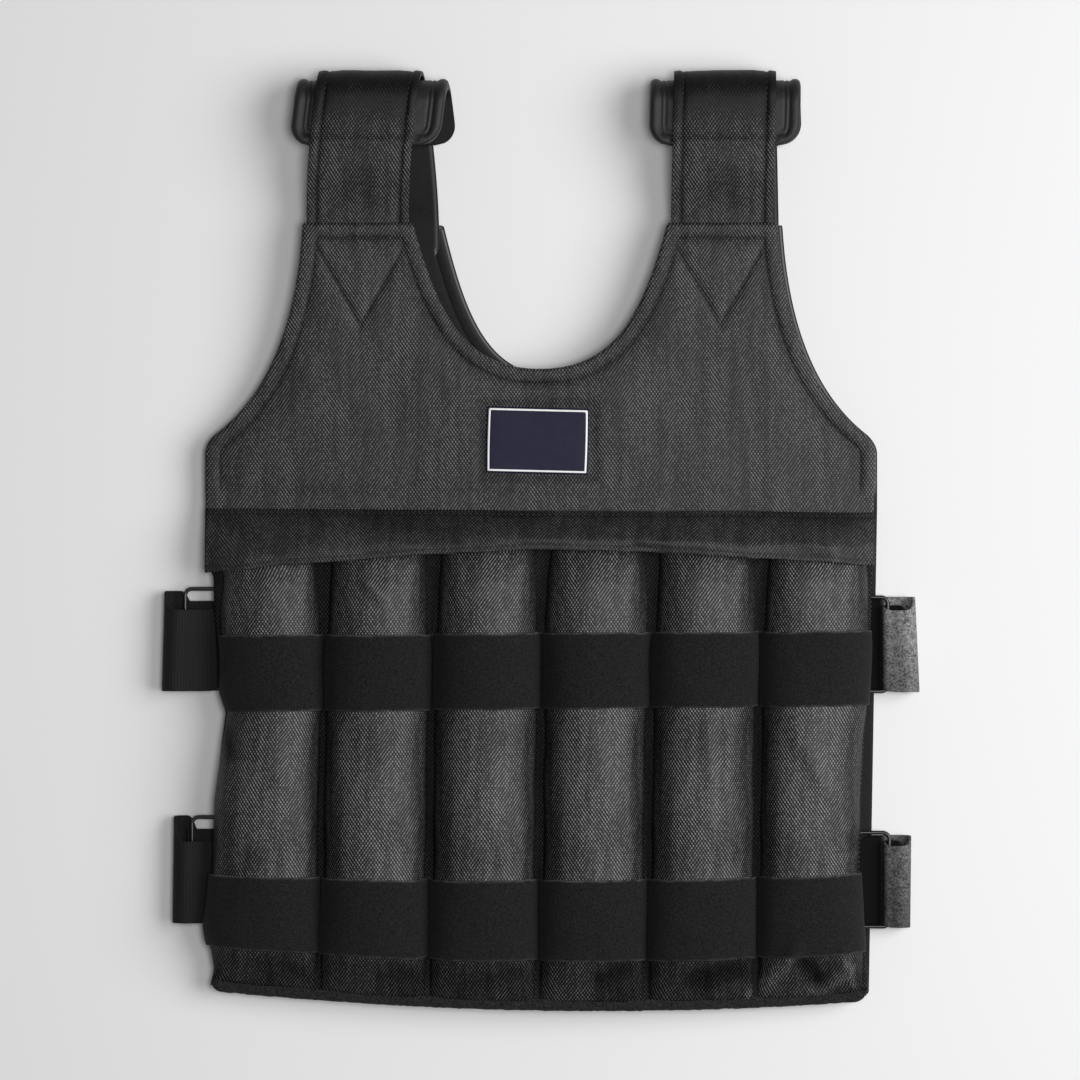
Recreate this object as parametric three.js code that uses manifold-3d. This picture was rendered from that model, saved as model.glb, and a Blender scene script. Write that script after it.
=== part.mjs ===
// A weighted training vest, lying on its back as it is stored: a front and a back panel of woven
// nylon, six filled weight pockets under a flap on the front, two hook-and-loop bands across the
// pockets, two padded shoulder straps, and four webbing side straps that run through wire rings.
// Millimetres. +X is the viewer's right, +Y runs from the hem to the shoulders, +Z up. The origin
// is on the surface that the vest lies on, under the middle of its outline.
import * as THREE from "three";
import { mergeVertices } from "three/addons/utils/BufferGeometryUtils.js";
import Module from "manifold-3d";

const wasm = await Module();
wasm.setup();

// Clearance between pieces that lie on each other
const fit = 0.4;

// Weight pockets, a row of filled tubes side by side
const pocketCount = 6;
const pocketWidth = 60;
const pocketGap = 5.4;
const pocketHeight = 25;
const pocketMouthY = 2;
const pocketLean = -3.5; // sideways drift of a pocket's foot, as the row hangs a little askew
const rowTilt = 2; // and its right end lies higher by this much at mid height
const pocketRow = pocketCount * pocketWidth + (pocketCount - 1) * pocketGap;

// Panels: cloth with a thin lining
const panelThickness = 3;
const backThickness = 3;
const sideMargin = 2.5; // panel beyond the outermost pocket
const chestFlare = 5; // the chest is wider than the hem by this much on each side
const hemHalf = pocketRow / 2 + sideMargin;
const chestHalf = hemHalf + chestFlare;
const hemY = -269.5; // the corners of the lower edge, on average
const hemSag = 8; // its middle hangs lower by this much
const hemTilt = 3.2; // and its right corner lies lower by this much, its left one higher
const flapSeamY = 19;
const armholeY = 58;
const armholeCorner = 5.5; // rounding where the armhole meets the side
const armholeDip = { inward: 5, up: 41 }; // its curve's control point, from the shoulder and chest
const necklineY = 103;
const shoulderY = 190;
const neckHalf = 76; // half the width of the neck opening between the shoulders
const backNeckHalf = 69;
const backNecklineY = 99;
const backShift = 11; // the back panel lies this far to the right of the front one
const backNarrow = 9; // and its chest is narrower on each side

// Heights of the front panel's inner face
const panelCrown = 8; // how much the middle of the chest stands above its sides
const shoulderLift = 23; // above the surface, at the shoulder edge

// Shoulder straps and the pads that they run over
const strapWidth = 61;
const strapThickness = 2.6;
const strapMargin = 2.5; // panel on each side of the strap
const strapTipDrop = 62; // how far the strap's pointed end reaches below the shoulder edge
const strapPointLength = 48;
const strapTopY = 281.5;
const strapTipWidth = 6;
const padWidth = 90;
const padThickness = 5.5;
const padOpening = 16; // free height between the two halves of the folded pad
const padFrontY = 236;
const padBackY = 238;
const padCorner = 13;
const padSlack = 3; // free space between pad and strap at the fold
const climbMargin = 3; // the strap has risen to the pad's top this far before the pad's edge
const landing = { touch: 24, slope: 13, seat: 3 }; // beyond the shoulder edge, where it comes back

// Flap over the pocket mouths
const flapThickness = 1.6;
const flapDropSide = 34;
const flapDropMiddle = 24;
const flapSide = 27; // its ends slope down to the panel over this width
const flapFoldHeight = 2.4;
// Soft ridges that run down the flap: at and foot are their places along its upper and lower edge,
// and width how far they spread, as shares of its half width.
const flapFolds = [
  { at: -0.86, foot: -0.7, width: 0.06, height: 1 },
  { at: -0.55, foot: -0.46, width: 0.05, height: 0.6 },
  { at: -0.2, foot: -0.12, width: 0.05, height: 0.7 },
  { at: 0.12, foot: 0.2, width: 0.06, height: 0.9 },
  { at: 0.42, foot: 0.52, width: 0.05, height: 0.7 },
  { at: 0.7, foot: 0.8, width: 0.06, height: 1 },
];

// Hook-and-loop bands sewn across the pockets
const bandThickness = 1.4;
const bandHeight = 45;
const bandLevels = { upper: 0.7, lower: 0.155 }; // shares of the pockets' length

// Binding round the hem
const hemThickness = 1.5;
const hemCover = 6.5; // how far it reaches up the panel

// Label
const labelWidth = 61.5;
const labelHeight = 39.5;
const labelThickness = 1;
const labelY = 60;
const labelTilt = -1.4; // degrees

// Side straps with their rings and tabs
const webbingWidth = 49;
const webbingThickness = 1.7;
const loopReach = 29.5; // how far the longest loop stands out beyond the panel
const loopBulge = 5.5; // its outer fold is higher than its run over the ring by this much
const ringWire = 3;
const ringGap = 1.2; // between a strap's lower edge, where it turns, and its ring's lower side
const ringLength = 34; // across its two long bars, centre to centre
const ringCorner = 4;
const tabThickness = 1.2;
const tabLength = 24;
const anchorLength = 26; // side strap sewn on the back panel
const returnLength = 17; // free end that comes back inside the loop
const anchorOverhang = 1.5; // it leaves the back panel's edge this far out
// Level is the strap's place between the hem and the flap. Reach, bar and turn are where its loop
// ends, where the ring's outer bar lies and where the strap turns back, as shares of loopReach.
// Bulge is a share of loopBulge.
const sideStraps = [
  { name: "upper_left", side: -1, level: 0.707, reach: 1, bar: 0.58, turn: 0.13, bulge: 1 },
  { name: "lower_left", side: -1, level: 0.225, reach: 0.81, bar: 0.44, turn: 0.1, bulge: 1 },
  { name: "upper_right", side: 1, level: 0.705, reach: 1, bar: 0.44, turn: 0.31, bulge: 0.7 },
  { name: "lower_right", side: 1, level: 0.215, reach: 0.92, bar: 0.47, turn: 0.34, bulge: 0.5 },
];
// How far a strap's hidden runs are pushed up through its ring, and the ring's free height
const ringFits = {
  upper_left: { skew: 5, slack: 7 },
  lower_left: { skew: 7, slack: 7 },
  upper_right: { skew: 3, slack: 4.5 },
  lower_right: { skew: 3, slack: 4.5 },
};
// Shares of the skew for the points of a strap's path, from the back panel to its free end
const skewShares = [
  0, 0.4, 0.9, 1, 1, 1, 0.97, 0.9, 0.78, 0.6, 0.4, 0.2, 0.05, 0, 0.1, 0.4, 0.8, 1, 1, 1, 1, 1, 1, 1,
];

// The panels' side edges lie as far apart as the rings in their tabs need.
const sideGap = webbingThickness + 2 * tabThickness + ringWire + 4 * fit;

const paint = {
  nylon: new THREE.MeshStandardMaterial({ color: 0x35353a, roughness: 0.75, metalness: 0 }),
  lining: new THREE.MeshStandardMaterial({ color: 0x29292b, roughness: 0.8, metalness: 0 }),
  loop: new THREE.MeshStandardMaterial({ color: 0x1c1c1e, roughness: 0.95, metalness: 0 }),
  webbing: new THREE.MeshStandardMaterial({ color: 0x242426, roughness: 0.85, metalness: 0 }),
  fuzzy: new THREE.MeshStandardMaterial({ color: 0x5c5c5e, roughness: 1, metalness: 0 }),
  wire: new THREE.MeshStandardMaterial({ color: 0x3a3a3c, roughness: 0.3, metalness: 0.9 }),
  label: new THREE.MeshStandardMaterial({ color: 0x23233a, roughness: 0.6, metalness: 0 }),
};

const vest = new THREE.Group();

function add(name, geometry, material) {
  const mesh = new THREE.Mesh(geometry, material);
  mesh.name = name;
  vest.add(mesh);
}

// Turns a closed body's faces outwards.
function facingOut(geometry) {
  const place = geometry.getAttribute("position");
  const corner = [new THREE.Vector3(), new THREE.Vector3(), new THREE.Vector3()];
  const index = geometry.index.array;
  let volume = 0;
  for (let i = 0; i < index.length; i += 3) {
    corner.forEach((point, k) => point.fromBufferAttribute(place, index[i + k]));
    volume += corner[0].dot(corner[1].clone().cross(corner[2]));
  }
  if (volume < 0) {
    for (let i = 0; i < index.length; i += 3) {
      [index[i + 1], index[i + 2]] = [index[i + 2], index[i + 1]];
    }
  }
  return geometry;
}

// A closed sheet of cloth: face(u, v) gives its outer and inner point for u and v from 0 to 1.
function sheet(columns, rows, face) {
  const points = [];
  const index = [];
  const layer = (columns + 1) * (rows + 1);
  const at = (side, i, j) => side * layer + j * (columns + 1) + i;
  const quad = (a, b, c, d) => index.push(a, b, c, a, c, d);
  for (const side of [0, 1]) {
    for (let j = 0; j <= rows; j++) {
      for (let i = 0; i <= columns; i++) {
        points.push(...face(i / columns, j / rows)[side].toArray());
      }
    }
  }
  for (let j = 0; j < rows; j++) {
    for (let i = 0; i < columns; i++) {
      quad(at(0, i, j), at(0, i + 1, j), at(0, i + 1, j + 1), at(0, i, j + 1));
      quad(at(1, i, j), at(1, i, j + 1), at(1, i + 1, j + 1), at(1, i + 1, j));
    }
    quad(at(0, 0, j), at(0, 0, j + 1), at(1, 0, j + 1), at(1, 0, j));
    quad(at(0, columns, j), at(1, columns, j), at(1, columns, j + 1), at(0, columns, j + 1));
  }
  for (let i = 0; i < columns; i++) {
    quad(at(0, i, 0), at(1, i, 0), at(1, i + 1, 0), at(0, i + 1, 0));
    quad(at(0, i, rows), at(0, i + 1, rows), at(1, i + 1, rows), at(1, i, rows));
  }
  return facingOut(indexed(points, index));
}

// A body lofted through loops of equally many points, capped at its two ends or joined into a ring.
function loft(loops, joined = false) {
  const points = loops.flat().flatMap((point) => point.toArray());
  const index = [];
  const size = loops[0].length;
  const spans = joined ? loops.length : loops.length - 1;
  for (let j = 0; j < spans; j++) {
    const near = j * size;
    const far = ((j + 1) % loops.length) * size;
    for (let i = 0; i < size; i++) {
      const next = (i + 1) % size;
      index.push(near + i, near + next, far + next, near + i, far + next, far + i);
    }
  }
  if (!joined) {
    const last = (loops.length - 1) * size;
    for (let i = 1; i < size - 1; i++) {
      index.push(0, i + 1, i, last, last + i, last + i + 1);
    }
  }
  return facingOut(indexed(points, index));
}

function indexed(points, index) {
  const geometry = new THREE.BufferGeometry();
  geometry.setAttribute("position", new THREE.Float32BufferAttribute(points, 3));
  geometry.setIndex(index);
  return geometry;
}

// The part of a body that lies inside an outline, seen from above.
function cutToOutline(geometry, outline, top) {
  const cutter = new THREE.ExtrudeGeometry(outline, {
    depth: top,
    bevelEnabled: false,
    curveSegments: 9,
  });
  const cut = solidOf(geometry).intersect(solidOf(cutter)).getMesh();
  const points = [];
  for (let i = 0; i < cut.vertProperties.length; i += cut.numProp) {
    points.push(...cut.vertProperties.slice(i, i + 3));
  }
  return indexed(points, Array.from(cut.triVerts));
}

function solidOf(geometry) {
  const bare = new THREE.BufferGeometry();
  bare.setAttribute("position", geometry.getAttribute("position"));
  bare.setIndex(geometry.index);
  const merged = mergeVertices(bare, 1e-4);
  return new wasm.Manifold(
    new wasm.Mesh({
      numProp: 3,
      vertProperties: merged.attributes.position.array,
      triVerts: new Uint32Array(merged.index.array),
    }),
  );
}

// A strip of webbing or cloth along a plane path. place(a, b, across, share) puts a path point and
// a distance across the strip in space, and halfWidth(share) is half the strip's width there.
function strip(path, thickness, halfWidth, place, columns = 2) {
  const rows = path.length - 1;
  const side = path.map((point, j) => {
    const before = path[Math.max(j - 1, 0)];
    const after = path[Math.min(j + 1, rows)];
    const along = after.clone().sub(before).normalize();
    return new THREE.Vector2(-along.y, along.x).multiplyScalar(thickness / 2);
  });
  return sheet(columns, rows, (u, v) => {
    const j = Math.round(v * rows);
    const across = (u * 2 - 1) * halfWidth(v);
    const outer = path[j].clone().add(side[j]);
    const inner = path[j].clone().sub(side[j]);
    return [place(outer.x, outer.y, across, v), place(inner.x, inner.y, across, v)];
  });
}

// Points along a circle, from one angle to another in degrees
function arc(centre, radius, from, to, steps) {
  return Array.from({ length: steps + 1 }, (_, i) => {
    const angle = THREE.MathUtils.degToRad(from + ((to - from) * i) / steps);
    return new THREE.Vector2(
      centre.x + radius * Math.cos(angle),
      centre.y + radius * Math.sin(angle),
    );
  });
}

const clamp = THREE.MathUtils.clamp;
const lerp = THREE.MathUtils.lerp;
const smoothstep = THREE.MathUtils.smoothstep;

// Height of the front panel's inner face
function panelInside(x, y) {
  const lying = backThickness + sideGap + panelCrown * (1 - (x / chestHalf) ** 2);
  return lerp(lying, shoulderLift, smoothstep(y, armholeY, shoulderY));
}

const panelOutside = (x, y) => panelInside(x, y) + panelThickness;

// How far the lower edge hangs below its corners' mean height
function hemDrop(x) {
  const share = x / hemHalf;
  return -hemTilt * share - hemSag * (1 - share ** 2);
}

// The outline of a panel, half as wide as half at the chest, with a U-shaped neckline
function panelOutline(half, neck, neckY, shift) {
  const shoulderWidth = strapWidth + 2 * strapMargin;
  const outer = neck + shoulderWidth;
  const foot = half - chestFlare;
  const shape = new THREE.Shape();
  const hemSteps = 12;
  for (let i = 0; i <= hemSteps; i++) {
    const x = shift + lerp(-foot, foot, i / hemSteps);
    const point = new THREE.Vector2(x, hemY + hemDrop(x));
    if (i === 0) {
      shape.moveTo(point.x, point.y);
    } else {
      shape.lineTo(point.x, point.y);
    }
  }
  shape.lineTo(shift + half, flapSeamY);
  const dip = new THREE.Vector2(outer + armholeDip.inward, armholeY + armholeDip.up);
  const corner = new THREE.Vector2(half - armholeCorner, armholeY + armholeCorner);
  shape.lineTo(shift + half, armholeY - armholeCorner);
  shape.quadraticCurveTo(shift + half, armholeY, shift + corner.x, corner.y);
  shape.quadraticCurveTo(shift + dip.x, dip.y, shift + outer, shoulderY);
  shape.lineTo(shift + neck, shoulderY);
  const neckTurn = new THREE.Vector2(neck * 0.815, lerp(neckY, shoulderY, 0.425));
  const neckFoot = neck * 0.63;
  shape.bezierCurveTo(
    shift + neckTurn.x, neckTurn.y, shift + neckFoot, neckY, shift, neckY,
  );
  shape.bezierCurveTo(
    shift - neckFoot, neckY, shift - neckTurn.x, neckTurn.y, shift - neck, shoulderY,
  );
  shape.lineTo(shift - outer, shoulderY);
  shape.quadraticCurveTo(shift - dip.x, dip.y, shift - corner.x, corner.y);
  shape.quadraticCurveTo(shift - half, armholeY, shift - half, armholeY - armholeCorner);
  shape.lineTo(shift - half, flapSeamY);
  shape.closePath();
  return shape;
}

function makeFrontPanel() {
  const spare = panelThickness;
  const reach = chestHalf + spare;
  const low = hemY - hemSag - hemTilt;
  const high = shoulderY + spare;
  const cloth = sheet(12, 14, (u, v) => {
    const x = lerp(-reach, reach, u);
    const y = lerp(low, high, v);
    const z = panelInside(x, y);
    return [new THREE.Vector3(x, y, z + panelThickness), new THREE.Vector3(x, y, z)];
  });
  const outline = panelOutline(chestHalf, neckHalf, necklineY, 0);
  const above = 3 * shoulderLift;
  add("front_panel", cutToOutline(cloth, outline, above), paint.nylon);
}

function makeBackPanel() {
  const outline = panelOutline(chestHalf - backNarrow, backNeckHalf, backNecklineY, backShift);
  const cloth = new THREE.ExtrudeGeometry(outline, {
    depth: backThickness,
    bevelEnabled: false,
    curveSegments: 9,
  });
  add("back_panel", cloth, paint.lining);
}

// Sections of a filled pocket from its foot to its mouth, as shares of its own size
const pocketSections = [
  { along: 0.0, height: 0.2, width: 0.97 },
  { along: 0.025, height: 0.5, width: 0.98 },
  { along: 0.06, height: 0.76, width: 0.99 },
  { along: 0.1, height: 0.88, width: 1.0 },
  { along: 0.18, height: 0.9, width: 1.0 },
  { along: 0.27, height: 0.93, width: 1.0 },
  { along: 0.4, height: 1.0, width: 1.0 },
  { along: 0.54, height: 1.0, width: 1.0 },
  { along: 0.65, height: 0.93, width: 1.0 },
  { along: 0.76, height: 0.92, width: 1.0 },
  { along: 0.88, height: 0.94, width: 0.99 },
  { along: 0.94, height: 0.84, width: 0.98 },
  { along: 0.975, height: 0.6, width: 0.97 },
  { along: 1.0, height: 0.3, width: 0.96 },
];
// How full each pocket is, from the viewer's left
const pocketFullness = [0.92, 0.98, 1.0, 0.97, 1.0, 0.93];
// Dents where the filling has sunk: along and turn give the place on the pocket's crown, length
// and width how far each spreads, and depth is a share of the pocket's height.
const pocketDents = [
  { pocket: 0, along: 0.62, turn: 0.2, length: 0.1, width: 0.14, depth: 0.14 },
  { pocket: 1, along: 0.06, turn: 0.25, length: 0.04, width: 0.15, depth: 0.1 },
  { pocket: 2, along: 0.9, turn: 0.75, length: 0.05, width: 0.15, depth: 0.1 },
  { pocket: 3, along: 0.06, turn: 0.76, length: 0.04, width: 0.14, depth: 0.16 },
  { pocket: 4, along: 0.06, turn: 0.66, length: 0.04, width: 0.2, depth: 0.16 },
  { pocket: 5, along: 0.07, turn: 0.45, length: 0.04, width: 0.12, depth: 0.18 },
  { pocket: 5, along: 0.025, turn: 0.7, length: 0.03, width: 0.1, depth: 0.2 },
];
const pocketSquareness = 2.5; // 2 is a half ellipse, more is a boxier tube
const pocketFootY = hemY + hemCover + fit;

function dentDepth(k, along, turn) {
  return pocketDents
    .filter((dent) => dent.pocket === k)
    .reduce((sum, dent) => {
      const away = ((along - dent.along) / dent.length) ** 2 + ((turn - dent.turn) / dent.width) ** 2;
      return sum + dent.depth * Math.exp(-away);
    }, 0);
}

// Where a pocket's section lies: the feet follow the lower edge, and the middle the row's tilt.
function pocketY(x, along) {
  const tilt = rowTilt * (x / hemHalf) * 4 * along * (1 - along);
  return lerp(pocketFootY, pocketMouthY, along) + tilt + hemDrop(x) * (1 - along) ** 4;
}

function pocketMiddle(k, along) {
  const pitch = pocketWidth + pocketGap;
  return (k - (pocketCount - 1) / 2) * pitch + pocketLean * (0.5 - along);
}

// A point of one section's crown, grown outwards by a clearance; turn runs from 0, at the viewer's
// left, to 1, at the right.
function sectionCrown(k, section, turn, grown) {
  const power = 2 / pocketSquareness;
  const angle = Math.PI * turn;
  const across = -Math.sign(Math.cos(angle)) * Math.abs(Math.cos(angle)) ** power;
  const up = Math.sin(angle) ** power;
  const x = pocketMiddle(k, section.along) + across * ((pocketWidth / 2) * section.width + grown);
  const full = pocketFullness[k % pocketFullness.length] * section.height;
  const height = pocketHeight * full * (1 - dentDepth(k, section.along, turn));
  const z = panelOutside(x, 0) + fit + up * (height + grown);
  return new THREE.Vector3(x, pocketY(x, section.along), z);
}

// The same between two sections
function pocketCrown(k, along, turn, grown) {
  const next = Math.max(1, pocketSections.findIndex((row) => row.along >= along));
  const low = pocketSections[next - 1];
  const high = pocketSections[next];
  const share = (along - low.along) / (high.along - low.along);
  return sectionCrown(k, low, turn, grown).lerp(sectionCrown(k, high, turn, grown), share);
}

const crownSteps = 10;

function makePockets() {
  for (let k = 0; k < pocketCount; k++) {
    const loops = pocketSections.map((section) => {
      const crown = Array.from({ length: crownSteps + 1 }, (_, i) =>
        sectionCrown(k, section, i / crownSteps, 0),
      );
      const x = pocketMiddle(k, section.along);
      const seat = new THREE.Vector3(x, pocketY(x, section.along), panelOutside(x, 0) + fit);
      return [seat, ...crown];
    });
    add(`pocket_${k + 1}`, loft(loops), paint.nylon);
  }
}

// A band runs over every pocket and down into every valley between them.
function makeBand(name, level) {
  const share = bandHeight / (pocketMouthY - pocketFootY);
  const foot = level - share / 2;
  const head = level + share / 2;
  const between = pocketSections
    .map((row) => row.along)
    .filter((along) => along > foot && along < head);
  const levels = [foot, ...between, head];
  const columns = pocketCount * (crownSteps + 1) - 1;
  const cloth = sheet(columns, levels.length - 1, (u, v) => {
    const i = Math.round(u * columns);
    const k = Math.floor(i / (crownSteps + 1));
    const turn = (i % (crownSteps + 1)) / crownSteps;
    const along = levels[Math.round(v * (levels.length - 1))];
    const outer = pocketCrown(k, along, turn, fit + bandThickness);
    const inner = pocketCrown(k, along, turn, fit);
    outer.z = Math.max(outer.z, panelOutside(outer.x, 0) + fit + bandThickness);
    return [outer, inner];
  });
  add(name, cloth, paint.loop);
}

// Height of the pockets above the panel near their mouths, without dents
function pocketCover(x, y) {
  const along = (y - pocketFootY) / (pocketMouthY - pocketFootY);
  const next = pocketSections.findIndex((row) => row.along >= along);
  if (next < 0) {
    return 0;
  }
  const pitch = pocketWidth + pocketGap;
  const k = clamp(Math.round(x / pitch + (pocketCount - 1) / 2), 0, pocketCount - 1);
  const across = clamp(Math.abs(x - pocketMiddle(k, along)) / (pocketWidth / 2), 0, 1);
  const full = pocketFullness[k % pocketFullness.length] * pocketSections[next - 1].height;
  return pocketHeight * full * (1 - across ** pocketSquareness) ** (1 / pocketSquareness);
}

function flapRidge(share, v) {
  const rise = flapFolds.reduce((sum, fold) => {
    const away = (share - lerp(fold.at, fold.foot, v)) / fold.width;
    return sum + fold.height * Math.exp(-(away ** 2));
  }, 0);
  return flapFoldHeight * rise * 4 * v * (1 - v);
}

// The flap is sewn at its upper edge and drapes over the mouths of the pockets.
function makeFlap() {
  const columns = 44;
  const rows = 5;
  const reach = chestHalf - fit;
  const cloth = sheet(columns, rows, (u, v) => {
    const x = lerp(-reach, reach, u);
    const drop = lerp(flapDropMiddle, flapDropSide, (x / reach) ** 2);
    const y = flapSeamY - v * drop;
    const tent = pocketHeight * 0.97 * smoothstep(v, -0.1, 0.75);
    const side = smoothstep(reach - Math.abs(x), 0, flapSide);
    const cover = Math.max(tent * lerp(0.25, 1, side), pocketCover(x, y) + fit);
    const z = panelOutside(x, y) + fit + cover + flapRidge(x / reach, v);
    return [new THREE.Vector3(x, y, z + flapThickness), new THREE.Vector3(x, y, z)];
  });
  add("flap", cloth, paint.nylon);
}

// The binding folds round the front panel's lower edge.
function makeHem() {
  const columns = 14;
  const half = panelThickness / 2 + fit + hemThickness / 2;
  const turns = 6;
  const turn = Array.from({ length: turns + 1 }, (_, j) => {
    const angle = Math.PI * (j / turns - 0.5);
    return new THREE.Vector2(-Math.cos(angle) * half, Math.sin(angle) * half);
  });
  const path = [new THREE.Vector2(hemCover, -half), ...turn, new THREE.Vector2(hemCover, half)];
  const foot = hemHalf - fit;
  const cloth = strip(path, hemThickness, () => foot, (a, b, across) => {
    const y = hemY + hemDrop(across) + a;
    return new THREE.Vector3(across, y, panelInside(across, y) + panelThickness / 2 + b);
  }, columns);
  add("hem_binding", cloth, paint.webbing);
}

function makeLabel() {
  const tilt = THREE.MathUtils.degToRad(labelTilt);
  const patch = sheet(6, 3, (u, v) => {
    const flat = new THREE.Vector2((u - 0.5) * labelWidth, (v - 0.5) * labelHeight);
    flat.rotateAround(new THREE.Vector2(), tilt);
    const y = labelY + flat.y;
    const z = panelOutside(flat.x, y) + fit;
    return [
      new THREE.Vector3(flat.x, y, z + labelThickness),
      new THREE.Vector3(flat.x, y, z),
    ];
  });
  add("label", patch, paint.label);
}

// A shoulder strap starts under the front panel, runs over its pad, folds at the top and comes back
// under the pad to the back panel. The pad is a saddle folded inside it.
const foldHeight = 2 * (padThickness + fit + strapThickness) + padOpening;
const groundGap = 0.3; // the strap's lowest face above the surface

function makeShoulder(name, side) {
  const frontX = side * (neckHalf + strapMargin + strapWidth / 2);
  const backX = backShift + side * (backNeckHalf + strapMargin + strapWidth / 2);
  const middle = (share) => lerp(frontX, backX, smoothstep(share, 0.2, 0.85));
  const half = strapThickness / 2;
  const outerEdge = side * (neckHalf + strapMargin + strapWidth);
  const underPanel = (y) => panelInside(outerEdge, y) - fit - half;
  const tipY = shoulderY - strapTipDrop;
  const topZ = groundGap + foldHeight - half;
  const lowZ = groundGap + half;
  const foldRadius = (topZ - lowZ) / 2;
  const foldY = strapTopY - half - foldRadius;
  const backZ = backThickness + fit + half;
  const under = 6;
  const path = [];
  for (let j = 0; j <= under; j++) {
    const y = lerp(tipY, shoulderY - 1, j / under);
    path.push(new THREE.Vector2(y, underPanel(y)));
  }
  const climb = 5;
  for (let j = 1; j < climb; j++) {
    const t = j / climb;
    const y = lerp(shoulderY, padFrontY - climbMargin, t);
    path.push(new THREE.Vector2(y, lerp(underPanel(shoulderY), topZ, smoothstep(t, 0, 1))));
  }
  path.push(new THREE.Vector2(padFrontY - climbMargin, topZ));
  path.push(...arc(new THREE.Vector2(foldY, topZ - foldRadius), foldRadius, 90, -90, 10));
  path.push(new THREE.Vector2(shoulderY + landing.touch, lowZ));
  path.push(new THREE.Vector2(shoulderY + landing.slope, lerp(lowZ, backZ, 0.35)));
  path.push(new THREE.Vector2(shoulderY + landing.seat, backZ));
  const flatEnd = shoulderY - strapTipDrop + strapPointLength;
  for (const y of [flatEnd, lerp(flatEnd, tipY, 0.5), tipY]) {
    path.push(new THREE.Vector2(y, backZ));
  }
  const rows = path.length - 1;
  const halfWidth = (share) => {
    const y = path[Math.round(share * rows)].x;
    const point = clamp((y - tipY) / strapPointLength, 0, 1);
    return lerp(strapTipWidth, strapWidth, point) / 2;
  };
  const strap = strip(path, strapThickness, halfWidth, (a, b, across, share) =>
    new THREE.Vector3(middle(share) + across, a, b),
  );
  add(`shoulder_strap_${name}`, strap, paint.nylon);

  const padHalf = padThickness / 2;
  const padTop = topZ - half - fit - padHalf;
  const padLow = lowZ + half + fit + padHalf;
  const padRadius = (padTop - padLow) / 2;
  const padFoldY = strapTopY - strapThickness - padSlack - padHalf - padRadius;
  const corner = [0, 0.12, 0.4, 1];
  const padPath = [
    ...corner.map((t) => new THREE.Vector2(padFrontY + t * padCorner, padTop)),
    ...arc(new THREE.Vector2(padFoldY, padTop - padRadius), padRadius, 90, -90, 9),
    ...corner.toReversed().map((t) => new THREE.Vector2(padBackY + t * padCorner, padLow)),
  ];
  const padRows = padPath.length - 1;
  const padShare = (share) => {
    const j = Math.round(share * padRows);
    const y = padPath[j].x;
    const low = j > padRows / 2 ? padBackY : padFrontY;
    const inside = clamp((y - low) / padCorner, 0, 1);
    return padWidth / 2 - padCorner + padCorner * Math.sqrt(1 - (1 - inside) ** 2);
  };
  const strapShare = (share) => lerp(0.4, 0.66, share);
  const pad = strip(padPath, padThickness, padShare, (a, b, across, share) =>
    new THREE.Vector3(middle(strapShare(share)) + across, a, b), 4);
  add(`shoulder_pad_${name}`, pad, paint.lining);
}

// A side strap is sewn on the back panel, folds outside the vest, runs over the outer bar of its
// ring and turns back inside itself. The ring's inner bar hangs in a tab under the front panel.
const ringZ = backThickness + webbingThickness + tabThickness + 3 * fit + ringWire / 2;

function makeSideStrap({ name, side, level, reach, bar, turn, bulge }) {
  const { skew, slack } = ringFits[name];
  const half = webbingThickness / 2;
  const middle = lerp(hemY, flapSeamY, level);
  const barX = hemHalf + loopReach * bar;
  const overBar = ringZ + ringWire / 2 + fit + half;
  const underBar = ringZ - ringWire / 2 - fit - half;
  const backEdge = hemHalf + chestFlare / 2 - backNarrow + side * backShift;
  const anchorZ = backThickness + fit + half;
  const floorZ = groundGap + half;
  const rise = loopBulge * bulge;
  const loopRadius = (overBar + rise - floorZ) / 2;
  const loopX = hemHalf + loopReach * reach - half - loopRadius;
  const turnRadius = (overBar - underBar) / 2;
  const turnX = hemHalf + loopReach * turn + turnRadius + half;
  const freeEnd = Math.min(turnX + returnLength, loopX + loopRadius / 2);
  const leave = Math.min(backEdge + anchorOverhang, loopX - anchorOverhang);
  const path = [
    new THREE.Vector2(backEdge - anchorLength, anchorZ),
    new THREE.Vector2(leave, anchorZ),
    new THREE.Vector2(lerp(leave, loopX, 0.5), lerp(anchorZ, floorZ, 0.7)),
    ...arc(new THREE.Vector2(loopX, floorZ + loopRadius), loopRadius, -90, 90, 9),
    new THREE.Vector2(lerp(loopX, turnX, 0.35), overBar + rise * 0.65),
    new THREE.Vector2(lerp(loopX, turnX, 0.7), overBar + rise * 0.2),
    ...arc(new THREE.Vector2(turnX, ringZ), turnRadius, 90, 270, 6),
    new THREE.Vector2(lerp(turnX, freeEnd, 0.5), underBar - fit),
    new THREE.Vector2(freeEnd, underBar - 2 * fit),
  ];
  const shift = (share) => skew * skewShares[Math.round(share * (path.length - 1))];
  const strap = strip(path, webbingThickness, () => webbingWidth / 2, (a, b, across, share) =>
    new THREE.Vector3(side * a, middle + shift(share) + across, b),
  );
  add(`side_strap_${name}`, strap, side > 0 ? paint.fuzzy : paint.webbing);
  const ringMiddle = middle + skew + slack / 2 - ringGap;
  makeRing(name, side, ringMiddle, barX, webbingWidth + slack + ringWire);
  makeTab(name, side, ringMiddle, barX - ringLength);
}

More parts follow.
